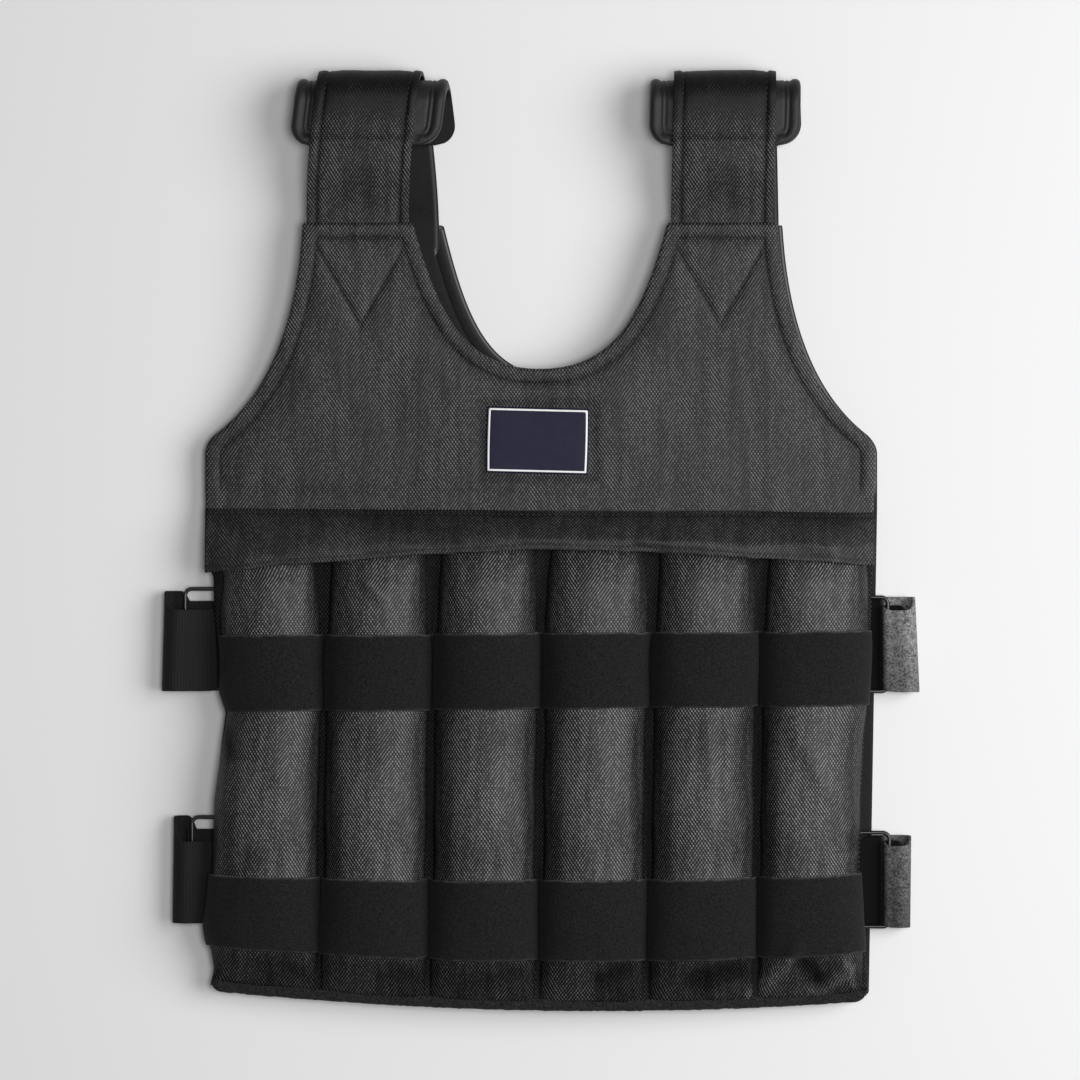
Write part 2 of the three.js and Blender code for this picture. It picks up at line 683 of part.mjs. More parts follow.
function makeRing(name, side, middle, bar, long) {
  const outline = [];
  const corners = [
    { x: bar - ringCorner, y: long / 2 - ringCorner, from: 0 },
    { x: bar - ringLength + ringCorner, y: long / 2 - ringCorner, from: 90 },
    { x: bar - ringLength + ringCorner, y: -long / 2 + ringCorner, from: 180 },
    { x: bar - ringCorner, y: -long / 2 + ringCorner, from: 270 },
  ];
  for (const { x, y, from } of corners) {
    outline.push(...arc(new THREE.Vector2(x, y), ringCorner, from, from + 90, 3));
  }
  const sides = 6;
  const loops = outline.map((point, j) => {
    const before = outline[(j + outline.length - 1) % outline.length];
    const after = outline[(j + 1) % outline.length];
    const along = after.clone().sub(before).normalize();
    const out = new THREE.Vector2(along.y, -along.x);
    return Array.from({ length: sides }, (_, i) => {
      const angle = (2 * Math.PI * i) / sides;
      const reach = (Math.cos(angle) * ringWire) / 2;
      const x = point.x + out.x * reach;
      const y = point.y + out.y * reach;
      return new THREE.Vector3(side * x, middle + y, ringZ + (Math.sin(angle) * ringWire) / 2);
    });
  });
  add(`ring_${name}`, loft(loops, true), paint.wire);
}

function makeTab(name, side, middle, bar) {
  const half = tabThickness / 2;
  const turn = ringWire / 2 + fit + half;
  const end = bar - tabLength;
  const underPanel = (x) => panelInside(x, middle) - fit - half;
  const path = [
    new THREE.Vector2(end, ringZ - turn),
    ...arc(new THREE.Vector2(bar, ringZ), turn, -90, 90, 6),
    new THREE.Vector2(lerp(bar, end, 0.35), Math.max(ringZ + turn, underPanel(bar) - 0.2)),
    new THREE.Vector2(lerp(bar, end, 0.7), underPanel(lerp(bar, end, 0.7))),
    new THREE.Vector2(end, underPanel(end)),
  ];
  const tab = strip(path, tabThickness, () => webbingWidth / 2, (a, b, across) =>
    new THREE.Vector3(side * a, middle + across, b),
  );
  add(`ring_tab_${name}`, tab, paint.webbing);
}

makeFrontPanel();
makeBackPanel();
makePockets();
makeBand("band_upper", bandLevels.upper);
makeBand("band_lower", bandLevels.lower);
makeFlap();
makeHem();
makeLabel();
makeShoulder("left", -1);
makeShoulder("right", 1);
sideStraps.forEach(makeSideStrap);

export default vest;
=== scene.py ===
import math

import bmesh
import bpy
import numpy as np
from mathutils import Matrix, Vector
from mathutils.bvhtree import BVHTree
from mathutils.geometry import delaunay_2d_cdt


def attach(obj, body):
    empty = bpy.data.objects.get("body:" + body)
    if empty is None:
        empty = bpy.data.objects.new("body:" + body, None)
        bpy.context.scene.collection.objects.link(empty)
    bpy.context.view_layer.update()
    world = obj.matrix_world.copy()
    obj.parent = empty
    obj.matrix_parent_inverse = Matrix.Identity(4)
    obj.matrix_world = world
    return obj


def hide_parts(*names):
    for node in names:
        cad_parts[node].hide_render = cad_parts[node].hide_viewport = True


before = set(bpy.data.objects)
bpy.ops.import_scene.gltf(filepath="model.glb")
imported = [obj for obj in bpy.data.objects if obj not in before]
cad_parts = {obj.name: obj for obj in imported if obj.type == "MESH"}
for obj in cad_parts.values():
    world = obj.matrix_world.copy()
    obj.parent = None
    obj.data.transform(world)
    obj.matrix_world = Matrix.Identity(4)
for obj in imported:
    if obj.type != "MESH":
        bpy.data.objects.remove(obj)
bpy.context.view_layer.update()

# Front and back panel
# The front panel is padded black basket-woven nylon, topstitched round the neck and armholes, with
# a V over the end of each shoulder strap. The back panel lies flat under it, a little to the
# viewer's right, and shows its smooth dark lining. Only the straps join the two.
FIT = 0.4  # the gap between two pieces that lie on each other
PANEL = 3
BACK = 3
CHEST_FLARE = 5
HEM_HALF = 196
CHEST_HALF = HEM_HALF + CHEST_FLARE
HEM_Y = -269.5
HEM_SAG = 8
HEM_TILT = 3.2
FLAP_SEAM_Y = 19
ARMHOLE_Y = 58
SHOULDER_Y = 190
NECK_HALF = 76
NECK_Y = 103
BACK_NECK_HALF = 69
BACK_NECK_Y = 99
BACK_SHIFT = 11
BACK_NARROW = 9
STRAP_WIDTH = 61
STRAP_MARGIN = 2.5
LABEL_WIDTH = 61.5
LABEL_HEIGHT = 39.5
LABEL_Y = 60
# The side webbing, the tabs and the rings lie between the two panels.
WEBBING = 1.7
TAB = 1.2
WIRE = 3
SIDE_GAP = WEBBING + 2 * TAB + WIRE + 4 * FIT
SEAM = 9  # from a panel's edge to its row of stitches
V_STITCH = {"half": 26.5, "top": 176.5, "foot": 129.0, "places": (-107.5, 107.5)}
# How far in from the edge the rings of vertices lie, close together at the edge and the seam
RINGS = (0.3, 0.8, 1.4, 2.2, 5, 7.6, 8.4, 9.0, 9.6, 10.6)


def lerp(low, high, share):
    return low + (high - low) * share


def ease(value, low=0.0, high=1.0):
    """0 below low, 1 above high, and an S-curve between them"""
    share = np.clip((value - low) / (high - low), 0, 1)
    return share * share * (3 - 2 * share)


def hill(value, width):
    return np.exp(-((value / width) ** 2))


def noise(x, y, size, seed):
    """Smooth noise between -1 and 1, with hills about size apart"""
    lattice = np.random.default_rng(seed).uniform(-1, 1, (97, 97))
    u, v = x / size, y / size
    i, j = np.floor(u).astype(int), np.floor(v).astype(int)
    s, t = ease(u - i), ease(v - j)
    low = lerp(lattice[i % 97, j % 97], lattice[(i + 1) % 97, j % 97], s)
    high = lerp(lattice[i % 97, (j + 1) % 97], lattice[(i + 1) % 97, (j + 1) % 97], s)
    return lerp(low, high, t)


def panel_inside(x, y):
    """Height of the front panel's inner face"""
    lying = BACK + SIDE_GAP + 8 * (1 - (x / CHEST_HALF) ** 2)
    return lerp(lying, 23, ease(y, ARMHOLE_Y, SHOULDER_Y))


# How far the front's sides are drawn in below the flap, at the viewer's left and right
DRAWN_IN = [
    # y, left, right
    (40, 0, 0), (14, 0.5, 1), (-14, 1.5, 1), (-22, 4.6, 1), (-41, 4.4, 1.2), (-60, 5.6, 1.4),
    (-89, 6.6, 2.4), (-101, 10.8, 3.0), (-119, 8.0, 4.4), (-155, 3.4, 5.6), (-197, 2.2, 5.6),
    (-228, -0.4, 4.0), (-246, 1.4, 1.6), (-258, 0.6, 0.4), (-268, -2.0, -0.6), (-290, -1.0, 1.6),
]


def drawn_in(x, y):
    """The same places, with the front's sides drawn in"""
    level, left, right = np.array(DRAWN_IN[::-1], float).T
    inset = np.where(x < 0, np.interp(y, level, left), -np.interp(y, level, right))
    return x + inset * ease(np.abs(x), 120, 196)


def hem_drop(x):
    share = x / HEM_HALF
    return -HEM_TILT * share - HEM_SAG * (1 - share**2)


def lengths(line):
    """How far along a line of points each one is"""
    steps = np.linalg.norm(np.diff(line, axis=0), axis=1)
    return np.concatenate([[0], np.cumsum(steps)])


def spaced(line, step):
    """The same line with its points about step apart"""
    line = np.asarray(line, float)
    along = lengths(line)
    count = max(2, int(round(along[-1] / step)) + 1)
    at = np.linspace(0, along[-1], count)
    return np.stack([np.interp(at, along, line[:, i]) for i in range(line.shape[1])], axis=1)


def curve(points, steps):
    """A Bezier curve through its first and last point"""
    share = np.linspace(0, 1, steps + 1)[:, None]
    rows = [np.repeat(np.array([p], float), steps + 1, axis=0) for p in points]
    while len(rows) > 1:
        rows = [lerp(a, b, share) for a, b in zip(rows, rows[1:])]
    return rows[0]


def panel_outline(half, neck, neck_y, shift):
    outer = neck + STRAP_WIDTH + 2 * STRAP_MARGIN
    foot = half - CHEST_FLARE
    x = np.linspace(-foot, foot, 161)
    hem = np.stack([x, HEM_Y + hem_drop(x + shift)], axis=1)
    corner = (half - 5.5, ARMHOLE_Y + 5.5)
    right = [
        [(foot, hem[-1, 1]), (half, FLAP_SEAM_Y), (half, ARMHOLE_Y - 5.5)],
        curve([(half, ARMHOLE_Y - 5.5), (half, ARMHOLE_Y), corner], 6),
        curve([corner, (outer + 5, ARMHOLE_Y + 41), (outer, SHOULDER_Y)], 80),
        curve([(outer, SHOULDER_Y), (neck, SHOULDER_Y)], 30),
        curve([
            (neck, SHOULDER_Y), (neck * 0.815, lerp(neck_y, SHOULDER_Y, 0.425)),
            (neck * 0.63, neck_y), (0, neck_y),
        ], 80),
    ]
    right = np.concatenate([np.asarray(part, float) for part in right])
    left = right[::-1] * (-1, 1)
    whole = np.concatenate([hem, right, left])
    whole[:, 0] += shift
    keep = np.linalg.norm(whole - np.roll(whole, 1, axis=0), axis=1) > 0.05
    whole = whole[keep]
    closed = spaced(np.concatenate([whole, whole[:1]]), 2.2)
    return closed[:-1]


def to_outline(points, outline):
    """Distance to the outline, how far round it the nearest place is, and whether inside it"""
    start, end = outline, np.roll(outline, -1, axis=0)
    step = end - start
    length = np.einsum("ij,ij->i", step, step)
    round_it = lengths(np.concatenate([outline, outline[:1]]))
    distance, where, inside = [], [], []
    for part in np.array_split(points, max(1, len(points) // 1500)):
        away = part[:, None, :] - start
        share = np.clip(np.einsum("pij,ij->pi", away, step) / length, 0, 1)
        gap = np.linalg.norm(away - share[..., None] * step, axis=2)
        best = gap.argmin(axis=1)
        rows = np.arange(len(part))
        distance.append(gap[rows, best])
        where.append(round_it[best] + share[rows, best] * np.sqrt(length[best]))
        y = part[:, 1:2]
        crosses = (start[:, 1] > y) != (end[:, 1] > y)
        with np.errstate(divide="ignore", invalid="ignore"):
            at = start[:, 0] + (y - start[:, 1]) / step[:, 1] * step[:, 0]
        inside.append((crosses & (part[:, 0:1] < at)).sum(axis=1) % 2 == 1)
    return np.concatenate(distance), np.concatenate(where), np.concatenate(inside)


def v_distance(x, y):
    """Signed distance to the nearer V, negative inside it"""
    height = V_STITCH["top"] - V_STITCH["foot"]
    slant = math.hypot(V_STITCH["half"], height)
    parts = [
        (np.abs(x - middle) * height - (y - V_STITCH["foot"]) * V_STITCH["half"]) / slant
        for middle in V_STITCH["places"]
    ]
    return np.where(np.abs(parts[0]) < np.abs(parts[1]), *parts)


def second_layer(blank, count):
    """Gives a flat blank of count numbered vertices an inner layer, numbered on from the outer"""
    at = blank.verts.layers.int["at"]
    blank.normal_update()
    bmesh.ops.solidify(blank, geom=blank.faces[:], thickness=0.1)
    for vert in blank.verts:
        if abs(vert.co.z) > 0.05:
            vert[at] += count
    return blank


def inward_of(outline):
    """The direction into the panel at each point of its outline"""
    following = np.roll(outline, -1, axis=0) - np.roll(outline, 1, axis=0)
    inward = np.stack([-following[:, 1], following[:, 0]], axis=1)
    return inward / np.linalg.norm(inward, axis=1)[:, None]


def panel_blank(outline, fine, coarse, fine_from):
    """A flat blank of two layers inside an outline, and the places of its outer vertices"""
    inward = inward_of(outline)
    extra = []
    for ring in RINGS:
        moved = outline + inward * ring
        distance, _, inside = to_outline(moved, outline)
        extra.append(moved[inside & (distance > ring - 0.08)])
    low, high = outline.min(axis=0), outline.max(axis=0)
    for step, bottom, top in ((coarse, low[1], fine_from), (fine, fine_from, high[1])):
        x, y = np.meshgrid(np.arange(low[0], high[0], step), np.arange(bottom, top, step * 0.87))
        x[1::2] += step / 2
        grid = np.stack([x.ravel(), y.ravel()], axis=1)
        distance, _, inside = to_outline(grid, outline)
        near_v = (np.abs(v_distance(*grid.T)) < 1.9) & (grid[:, 1] > V_STITCH["foot"] - 4)
        extra.append(grid[inside & (distance > RINGS[-1] + 1) & ~near_v])
    along = np.linspace(0, 1, 34)
    for middle in V_STITCH["places"]:
        for side in (-1, 1):
            for off in (-1.2, -0.5, 0, 0.5, 1.2):
                line = np.stack([
                    middle + side * (V_STITCH["half"] * along + off),
                    lerp(V_STITCH["foot"], V_STITCH["top"], along) + 0.01 * off,
                ], axis=1)
                distance, _, inside = to_outline(line, outline)
                apart = side * (line[:, 0] - middle) > 0.2
                extra.append(line[inside & (distance > RINGS[-1] + 0.3) & apart])
    points = np.concatenate([outline, *extra])
    ring = list(range(len(outline)))
    made = delaunay_2d_cdt([Vector(p) for p in points], [], [ring], 1, 1e-4)
    blank = bmesh.new()
    at = blank.verts.layers.int.new("at")
    verts = [blank.verts.new((*place, 0)) for place in made[0]]
    for number, vert in enumerate(verts):
        vert[at] = number
    for triangle in made[2]:
        blank.faces.new([verts[i] for i in triangle])
    return second_layer(blank, len(verts)), np.array([list(place) for place in made[0]])


def add_piece(name, stands_for, materials, shape):
    """Puts a shape, in millimetres, into the scene as a piece of the vest's one body"""
    bmesh.ops.recalc_face_normals(shape, faces=shape.faces)
    bmesh.ops.scale(shape, vec=(0.001, 0.001, 0.001), verts=shape.verts)
    mesh = bpy.data.meshes.new(name)
    shape.to_mesh(mesh)
    shape.free()
    mesh.polygons.foreach_set("use_smooth", [True] * len(mesh.polygons))
    for material in materials:
        mesh.materials.append(material)
    piece = bpy.data.objects.new(name, mesh)
    bpy.context.collection.objects.link(piece)
    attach(piece, "root")
    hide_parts(*stands_for)
    return piece


def add_cloth(node_name, materials, blank, points, flat, marks=None):
    """Lays a numbered blank out over its points. flat is where each vertex is on the cloth as it
    was cut, and marks say how much of a seam, a painted shade or a pale edge it shows. A seam is
    darkened partly as painted shade; the pale edge is fray on the bands and a painted highlight
    along the linings' edges. A second material is for the inner layer."""
    at = blank.verts.layers.int["at"]
    for vert in blank.verts:
        vert.co = points[vert[at]]
    if len(materials) > 1:
        for face in blank.faces:
            face.material_index = int(min(v[at] for v in face.verts) >= len(points) // 2)
    bmesh.ops.remove_doubles(blank, verts=blank.verts, dist=0.002)
    piece = add_piece(f"cloth_{node_name}", [node_name], materials, blank)
    mesh = piece.data
    number = np.empty(len(mesh.vertices), np.int32)
    mesh.attributes["at"].data.foreach_get("value", number)
    corner = np.empty(len(mesh.loops), np.int32)
    mesh.loops.foreach_get("vertex_index", corner)
    mesh.uv_layers.new(name="cloth").data.foreach_set("uv", flat[number[corner]].ravel())
    for key, values in (marks or {}).items():
        layer = mesh.attributes.new(key, "FLOAT", "POINT")
        layer.data.foreach_set("value", np.ravel(values)[number])
    return piece


def node(tree, kind, inputs=None, **settings):
    made = tree.nodes.new("ShaderNode" + kind)
    for key, value in settings.items():
        setattr(made, key, value)
    for key, value in (inputs or {}).items():
        if isinstance(value, bpy.types.NodeSocket):
            tree.links.new(value, made.inputs[key])
        else:
            made.inputs[key].default_value = value
    return made


def sums(tree, operation, *values):
    return node(tree, "Math", dict(enumerate(values)), operation=operation).outputs[0]


def blend(tree, share, low, high):
    made = node(tree, "Mix", data_type="RGBA")
    for key, value in (("Factor", share), ("A", low), ("B", high)):
        socket = next(s for s in made.inputs if s.name == key and s.type in ("RGBA", "VALUE")
                      and (key == "Factor" or s.type == "RGBA"))
        if isinstance(value, bpy.types.NodeSocket):
            tree.links.new(value, socket)
        else:
            socket.default_value = value
    return next(s for s in made.outputs if s.type == "RGBA")


def grey(value, blue=0.0):
    return (value, value, value * (1 + blue), 1)


def new_material(name, roughness, specular=0.5):
    material = bpy.data.materials.new(name)
    material.use_nodes = True
    shader = material.node_tree.nodes["Principled BSDF"]
    shader.inputs["Roughness"].default_value = roughness
    shader.inputs["Specular IOR Level"].default_value = specular
    return material, material.node_tree, shader


def mark(tree, name):
    return node(tree, "Attribute", attribute_name=name, attribute_type="GEOMETRY").outputs["Fac"]


def darkened(tree, colour, name, share):
    """The colour, darker by share where the mark of that name is 1"""
    return blend(tree, sums(tree, "MULTIPLY", mark(tree, name), share), colour, grey(0.004))


def surface(tree, shader, colour, height, strength, distance):
    """Gives a cloth its colour and raises its threads or hairs"""
    tree.links.new(colour, shader.inputs["Base Color"])
    raised = node(tree, "Bump", {"Strength": strength, "Distance": distance, "Height": height})
    tree.links.new(raised.outputs[0], shader.inputs["Normal"])


THREAD = (1.0, 1.43)  # how wide the weave's threads are, across and along the cloth
PALE_EDGE = 0.16  # the grey of a frayed edge, and of the painted highlight along a lining's edge


def woven(name, dark, light, specular):
    """Basket-woven nylon: threads that go over and under each other like a chessboard. In patches
    one diagonal of the weave shows more than the other."""
    material, tree, shader = new_material(name, 0.5, specular)
    flat = node(tree, "UVMap", uv_map="cloth").outputs[0]
    split = node(tree, "SeparateXYZ", {0: flat})
    waves = [
        sums(tree, "SINE", sums(tree, "MULTIPLY", split.outputs[i], math.pi / THREAD[i]))
        for i in (0, 1)
    ]
    chess = sums(tree, "MULTIPLY", *waves)
    along = node(tree, "VectorMath", {0: flat, 1: (math.pi / THREAD[0], math.pi / THREAD[1], 0)},
                 operation="DOT_PRODUCT")
    twill = sums(tree, "COSINE", along.outputs["Value"])
    patch_size = node(tree, "VectorMath", {0: flat, 1: (1.0, 0.35, 1)}, operation="MULTIPLY")
    patches = node(tree, "TexNoise", {
        "Vector": patch_size.outputs[0], "Scale": 0.045, "Detail": 2.0, "Roughness": 0.45,
    })
    lean = node(tree, "MapRange", {0: patches.outputs[0], 1: 0.36, 2: 0.62, 3: -0.85, 4: 0.85})
    over = sums(tree, "MULTIPLY_ADD", sums(tree, "MULTIPLY", twill, lean.outputs[0]), 0.5, chess)
    thread = node(tree, "VectorMath", {0: flat, 1: (*THREAD, 1)}, operation="DIVIDE")
    thread = node(tree, "VectorMath", {0: thread.outputs[0]}, operation="FLOOR")
    uneven = node(tree, "TexWhiteNoise", {0: thread.outputs[0]}, noise_dimensions="2D")
    lit = node(tree, "MapRange", {0: over, 1: -0.1, 2: 0.95, 3: 0.0, 4: 1.0})
    jitter = node(tree, "MapRange", {0: uneven.outputs["Value"], 3: 0.45, 4: 1.3})
    streaks = node(tree, "VectorMath", {0: flat, 1: (1.0, 0.12, 1)}, operation="MULTIPLY")
    streaks = node(tree, "TexNoise", {"Vector": streaks.outputs[0], "Scale": 0.16, "Detail": 2.0})
    streaky = node(tree, "MapRange", {0: streaks.outputs[0], 1: 0.36, 2: 0.64, 3: 0.68, 4: 1.38})
    # Painted shade where a strap curves over its fold: this mark fades the weave and its bumps into
    # the dark colour.
    weave_unshaded = sums(tree, "SUBTRACT", 1.0, mark(tree, "smooth_and_shaded"))
    tone = sums(tree, "MULTIPLY", lit.outputs[0], jitter.outputs[0])
    tone = sums(tree, "MULTIPLY", tone, streaky.outputs[0])
    tone = sums(tree, "MULTIPLY", tone, weave_unshaded)
    colour = blend(tree, tone, grey(dark, 0.03), grey(light, 0.03))
    # The groove mark darkens the seams: partly their dark thread and dirt, partly painted shade in
    # the groove.
    colour = darkened(tree, colour, "groove", 0.55)
    colour = darkened(tree, colour, "shade", 0.9)
    colour = blend(tree, mark(tree, "fray_and_edge_highlight"), colour, grey(PALE_EDGE))
    gloss = node(tree, "MapRange", {0: mark(tree, "shade"), 3: specular, 4: 0.0})
    tree.links.new(gloss.outputs[0], shader.inputs["Specular IOR Level"])
    surface(tree, shader, colour, sums(tree, "MULTIPLY", over, weave_unshaded), 0.3, 0.0004)
    return material


def fuzzy(name, dark, light, size, roughness=0.9, bump=0.7, sheen=0.0):
    """Pile, fleece or a plain cloth whose fibres don't show one by one"""
    material, tree, shader = new_material(name, roughness, 0.25)
    place = node(tree, "TexCoord").outputs["Object"]
    fine = node(tree, "TexNoise", {"Vector": place, "Scale": 1000 / size, "Detail": 3.0})
    tone = node(tree, "MapRange", {0: fine.outputs[0], 1: 0.35, 2: 0.7})
    colour = blend(tree, tone.outputs[0], grey(dark), grey(light))
    # The groove mark darkens the seams and the pad's grooves: partly their dark thread, partly
    # painted shade in the groove.
    colour = darkened(tree, colour, "groove", 0.7)
    colour = blend(tree, mark(tree, "fray_and_edge_highlight"), colour, grey(PALE_EDGE))
    shader.inputs["Sheen Weight"].default_value = sheen
    shader.inputs["Sheen Roughness"].default_value = 0.5
    surface(tree, shader, colour, fine.outputs[0], bump, 0.0005)
    return material


nylon = woven("nylon", 0.005, 0.135, 0.25)
lining = fuzzy("lining", 0.003, 0.006, 3.0, roughness=0.7, bump=0.1)


def add_panel(node_name, outline, inside_height, thickness, puff, fine, material, front):
    blank, flat = panel_blank(outline, fine, 9, 26)
    distance, where, _ = to_outline(flat, outline)
    x, y = flat.T
    upper = ease(y, 26, 36)
    seam = hill(distance - SEAM, 0.8) * upper
    v = v_distance(x, y)
    in_v = ease(y, V_STITCH["foot"] - 2, V_STITCH["foot"]) * ease(V_STITCH["top"] + 1.5 - y, 0, 1.5)
    v_seam = hill(v, 1.1) * in_v * (1 if front else 0)
    groove = np.maximum(0.6 * seam, v_seam)
    swell = puff * (
        0.55 * np.clip(1 - ((distance - SEAM / 2) / (SEAM / 2)) ** 2, 0, 1)
        + ease(distance, SEAM, SEAM + 16) * (1 - 0.75 * hill(v, 6) * in_v)
    ) * upper
    pucker = 0.16 * np.sin(where * 0.95 + 2 * noise(x, y, 15, 5)) * hill(distance - SEAM, 5) * upper
    soft = 0.5 * noise(x, y, 47, 1) + 0.3 * noise(x + 0.6 * y, y, 21, 2) + 0.1 * noise(x, y, 7, 3)
    soft = soft * puff * ease(distance, 0, 12) * upper
    shade = 0 * x
    if front:
        beside = np.maximum(np.abs(x + 1) - LABEL_WIDTH / 2, np.abs(y - LABEL_Y) - LABEL_HEIGHT / 2)
        dent = hill(beside - 2.0, 3.2)
        swell = swell - 0.9 * dent
        shade = 0.4 * hill(beside - 3.0, 3.0)
    edge = 1 - np.clip(distance / 1.5, 0, 1)
    half = thickness / 2 * np.sqrt(1 - edge**2)
    rim = distance < 1e-3
    inner = inside_height(x, y)
    middle = inner + thickness / 2
    top = middle + half + (swell + pucker + soft - 0.75 * groove) * ease(distance, 0, 1.5)
    points = np.concatenate([
        np.stack([x, y, np.where(rim, middle, top)], axis=1),
        np.stack([x, y, np.where(rim, middle, middle - half)], axis=1),
    ])

    def both(outer, inner):
        return np.stack([outer, np.where(rim, outer, inner)])

    seam_shade = shade + 0.3 * hill(distance - SEAM, 4.0) * upper
    # The back panel's lining gets a painted highlight along its edge.
    fray_and_edge_highlight = hill(distance - 1.5, 0.5) * upper * (0 if front else 1)
    marks = {
        "groove": both(groove, 0 * groove),
        "shade": both(np.maximum(seam_shade, 0.8 * ease(16 - y, 0, 12)), shade),
        "fray_and_edge_highlight": both(fray_and_edge_highlight, 0 * fray_and_edge_highlight),
    }
    return add_cloth(node_name, [material], blank, points, np.tile(flat, (2, 1)), marks)


front_outline = panel_outline(CHEST_HALF, NECK_HALF, NECK_Y, 0)
front_outline[:, 0] = drawn_in(*front_outline.T)
front_panel = add_panel(
    "front_panel", front_outline, panel_inside, PANEL, 1.0, 2.7, nylon, True,
)
back_outline = panel_outline(CHEST_HALF - BACK_NARROW, BACK_NECK_HALF, BACK_NECK_Y, BACK_SHIFT)
add_panel(
    "back_panel", back_outline, lambda x, y: 0 * x, BACK, 0.25, 4, lining, False,
)


def tree_of(*objects):
    """The faces of the pieces, for heights seen from above"""
    points, faces = [], []
    for obj in objects:
        start = len(points)
        points += [v.co * 1000 for v in obj.data.vertices]
        faces += [[start + i for i in p.vertices] for p in obj.data.polygons]
    return BVHTree.FromPolygons(points, faces)


def height_at(tree, x, y, missing=0.0):
    """Height of the topmost face at each place"""
    found = np.full(np.shape(x), missing, float)
    for place in np.ndindex(found.shape):
        hit = tree.ray_cast(Vector((x[place], y[place], 200)), Vector((0, 0, -1)))[0]
        if hit is not None:
            found[place] = hit.z
    return found


STITCH_PITCH = 3.4
STITCH = 2.3
stitches = []  # the two ends of each stitch, as the rows of sewing are laid


def sew(line, tree):
    """Lays a row of stitches along a line seen from above, on the faces of a tree"""
    line = np.asarray(line, float)
    along = lengths(line)
    for start in np.arange(STITCH_PITCH / 2, along[-1] - STITCH, STITCH_PITCH):
        ends = np.stack([
            [np.interp(start + s, along, line[:, i]) for i in (0, 1)] for s in (0, STITCH)
        ])
        z = height_at(tree, ends[:, 0], ends[:, 1], missing=np.nan)
        if not np.isnan(z).any() and abs(z[0] - z[1]) < 2 * STITCH:
            stitches.append([Vector((*end, height + 0.05)) for end, height in zip(ends, z)])


def offset_line(outline, distance, keep):
    """Runs of an outline moved inwards, where keep(x, y) holds"""
    moved = outline + inward_of(outline) * distance
    real, _, inside = to_outline(moved, outline)
    good = inside & (real > distance - 0.15) & keep(moved[:, 0], moved[:, 1])
    runs, run = [], []
    for point, fine in zip(moved, good):
        if fine:
            run.append(point)
        elif run:
            runs.append(np.array(run))
            run = []
    if run:
        runs.append(np.array(run))
    return [r for r in runs if len(r) > 3]


front_tree = tree_of(front_panel)
for line in offset_line(front_outline, SEAM, lambda x, y: y > 36):
    sew(line, front_tree)
for middle in V_STITCH["places"]:
    for side in (-1, 1):
        sew([
            (middle, V_STITCH["foot"]),
            (middle + side * V_STITCH["half"], V_STITCH["top"]),
        ], front_tree)


# Pockets
# Six long pockets of the same nylon, sewn to the front panel side by side and filled with sand
# packs. Their mouths lie under the flap, and their slack feet reach down over the hem's tape.
POCKETS = 6
POCKET_WIDTH = 61
POCKET_PITCH = 65.4
POCKET_HEIGHT = 25
POCKET_MOUTH = 2
POCKET_LEAN = -3.5
ROW_TILT = 2
HEM_COVER = 6.5
SECTIONS = np.array([
    # along, height, width
    (-0.015, 0.06, 1.0), (0.0, 0.22, 1.01), (0.025, 0.45, 1.02), (0.05, 0.63, 1.02),
    (0.085, 0.82, 1.02), (0.13, 0.9, 1.01), (0.18, 0.91, 1.0), (0.27, 0.93, 1.0),
    (0.4, 1.0, 1.0), (0.54, 1.0, 1.0), (0.65, 0.93, 1.0), (0.76, 0.92, 1.0),
    (0.83, 0.95, 0.98), (0.9, 0.88, 0.95), (0.94, 0.74, 0.93), (0.975, 0.55, 0.92),
    (1.0, 0.3, 0.92),
])
FULLNESS = (0.92, 0.98, 1.0, 0.97, 1.0, 0.93)
FOOT_START = -0.015  # a pocket's foot reaches over the tape, as a share of its length
OUTER_SIDE = 3.6  # the outer pockets reach this much further, to the panel's edge
POCKET_FOOT = HEM_Y + HEM_COVER + FIT
RIDGE_RISE = 1.5
# From (x1, y1) to (x2, y2), with how wide and how high each is; a negative height is a dent.
RIDGES = [
    dict(x1=-64, y1=-110, x2=-62, y2=-200, width=3, height=0.7),
    dict(x1=-8, y1=-106, x2=-10, y2=-196, width=3, height=0.6),
    dict(x1=100, y1=-105, x2=101, y2=-170, width=2.6, height=0.7),
    dict(x1=124, y1=-104, x2=128, y2=-112, width=5, height=-1.0),
    dict(x1=-176, y1=-190, x2=-186, y2=-204, width=6, height=-1.2),
    dict(x1=-120, y1=-112, x2=-122, y2=-150, width=3, height=0.7),
    dict(x1=150, y1=-110, x2=172, y2=-150, width=6, height=0.8),
    dict(x1=186, y1=-180, x2=192, y2=-204, width=4, height=-1.2),
    dict(x1=127, y1=-273, x2=153, y2=-243, width=4.5, height=2.6),
    dict(x1=163, y1=-272, x2=184, y2=-256, width=3.5, height=2.2),
    dict(x1=156, y1=-251, x2=166, y2=-262, width=7, height=-3.2),
    dict(x1=180, y1=-245, x2=187, y2=-266, width=2.5, height=1.4),
    dict(x1=94, y1=-262, x2=118, y2=-256, width=8, height=-4.0),
    dict(x1=36, y1=-262, x2=52, y2=-254, width=7, height=-2.6),
    dict(x1=53, y1=-112, x2=54, y2=-196, width=4, height=1.1),
    dict(x1=113, y1=-108, x2=114, y2=-186, width=4, height=1.2),
    dict(x1=-188, y1=-112, x2=-183, y2=-128, width=4, height=-1.8),
    dict(x1=180, y1=-192, x2=190, y2=-186, width=2.5, height=1.4),
    dict(x1=-150, y1=-255, x2=-136, y2=-262, width=6, height=-1.4),
    dict(x1=-90, y1=-258, x2=-70, y2=-262, width=7, height=-1.6),
    dict(x1=-34, y1=-262, x2=-12, y2=-258, width=7, height=-1.5),
    dict(x1=-107, y1=-20, x2=-95, y2=-32, width=4, height=1.2),
]


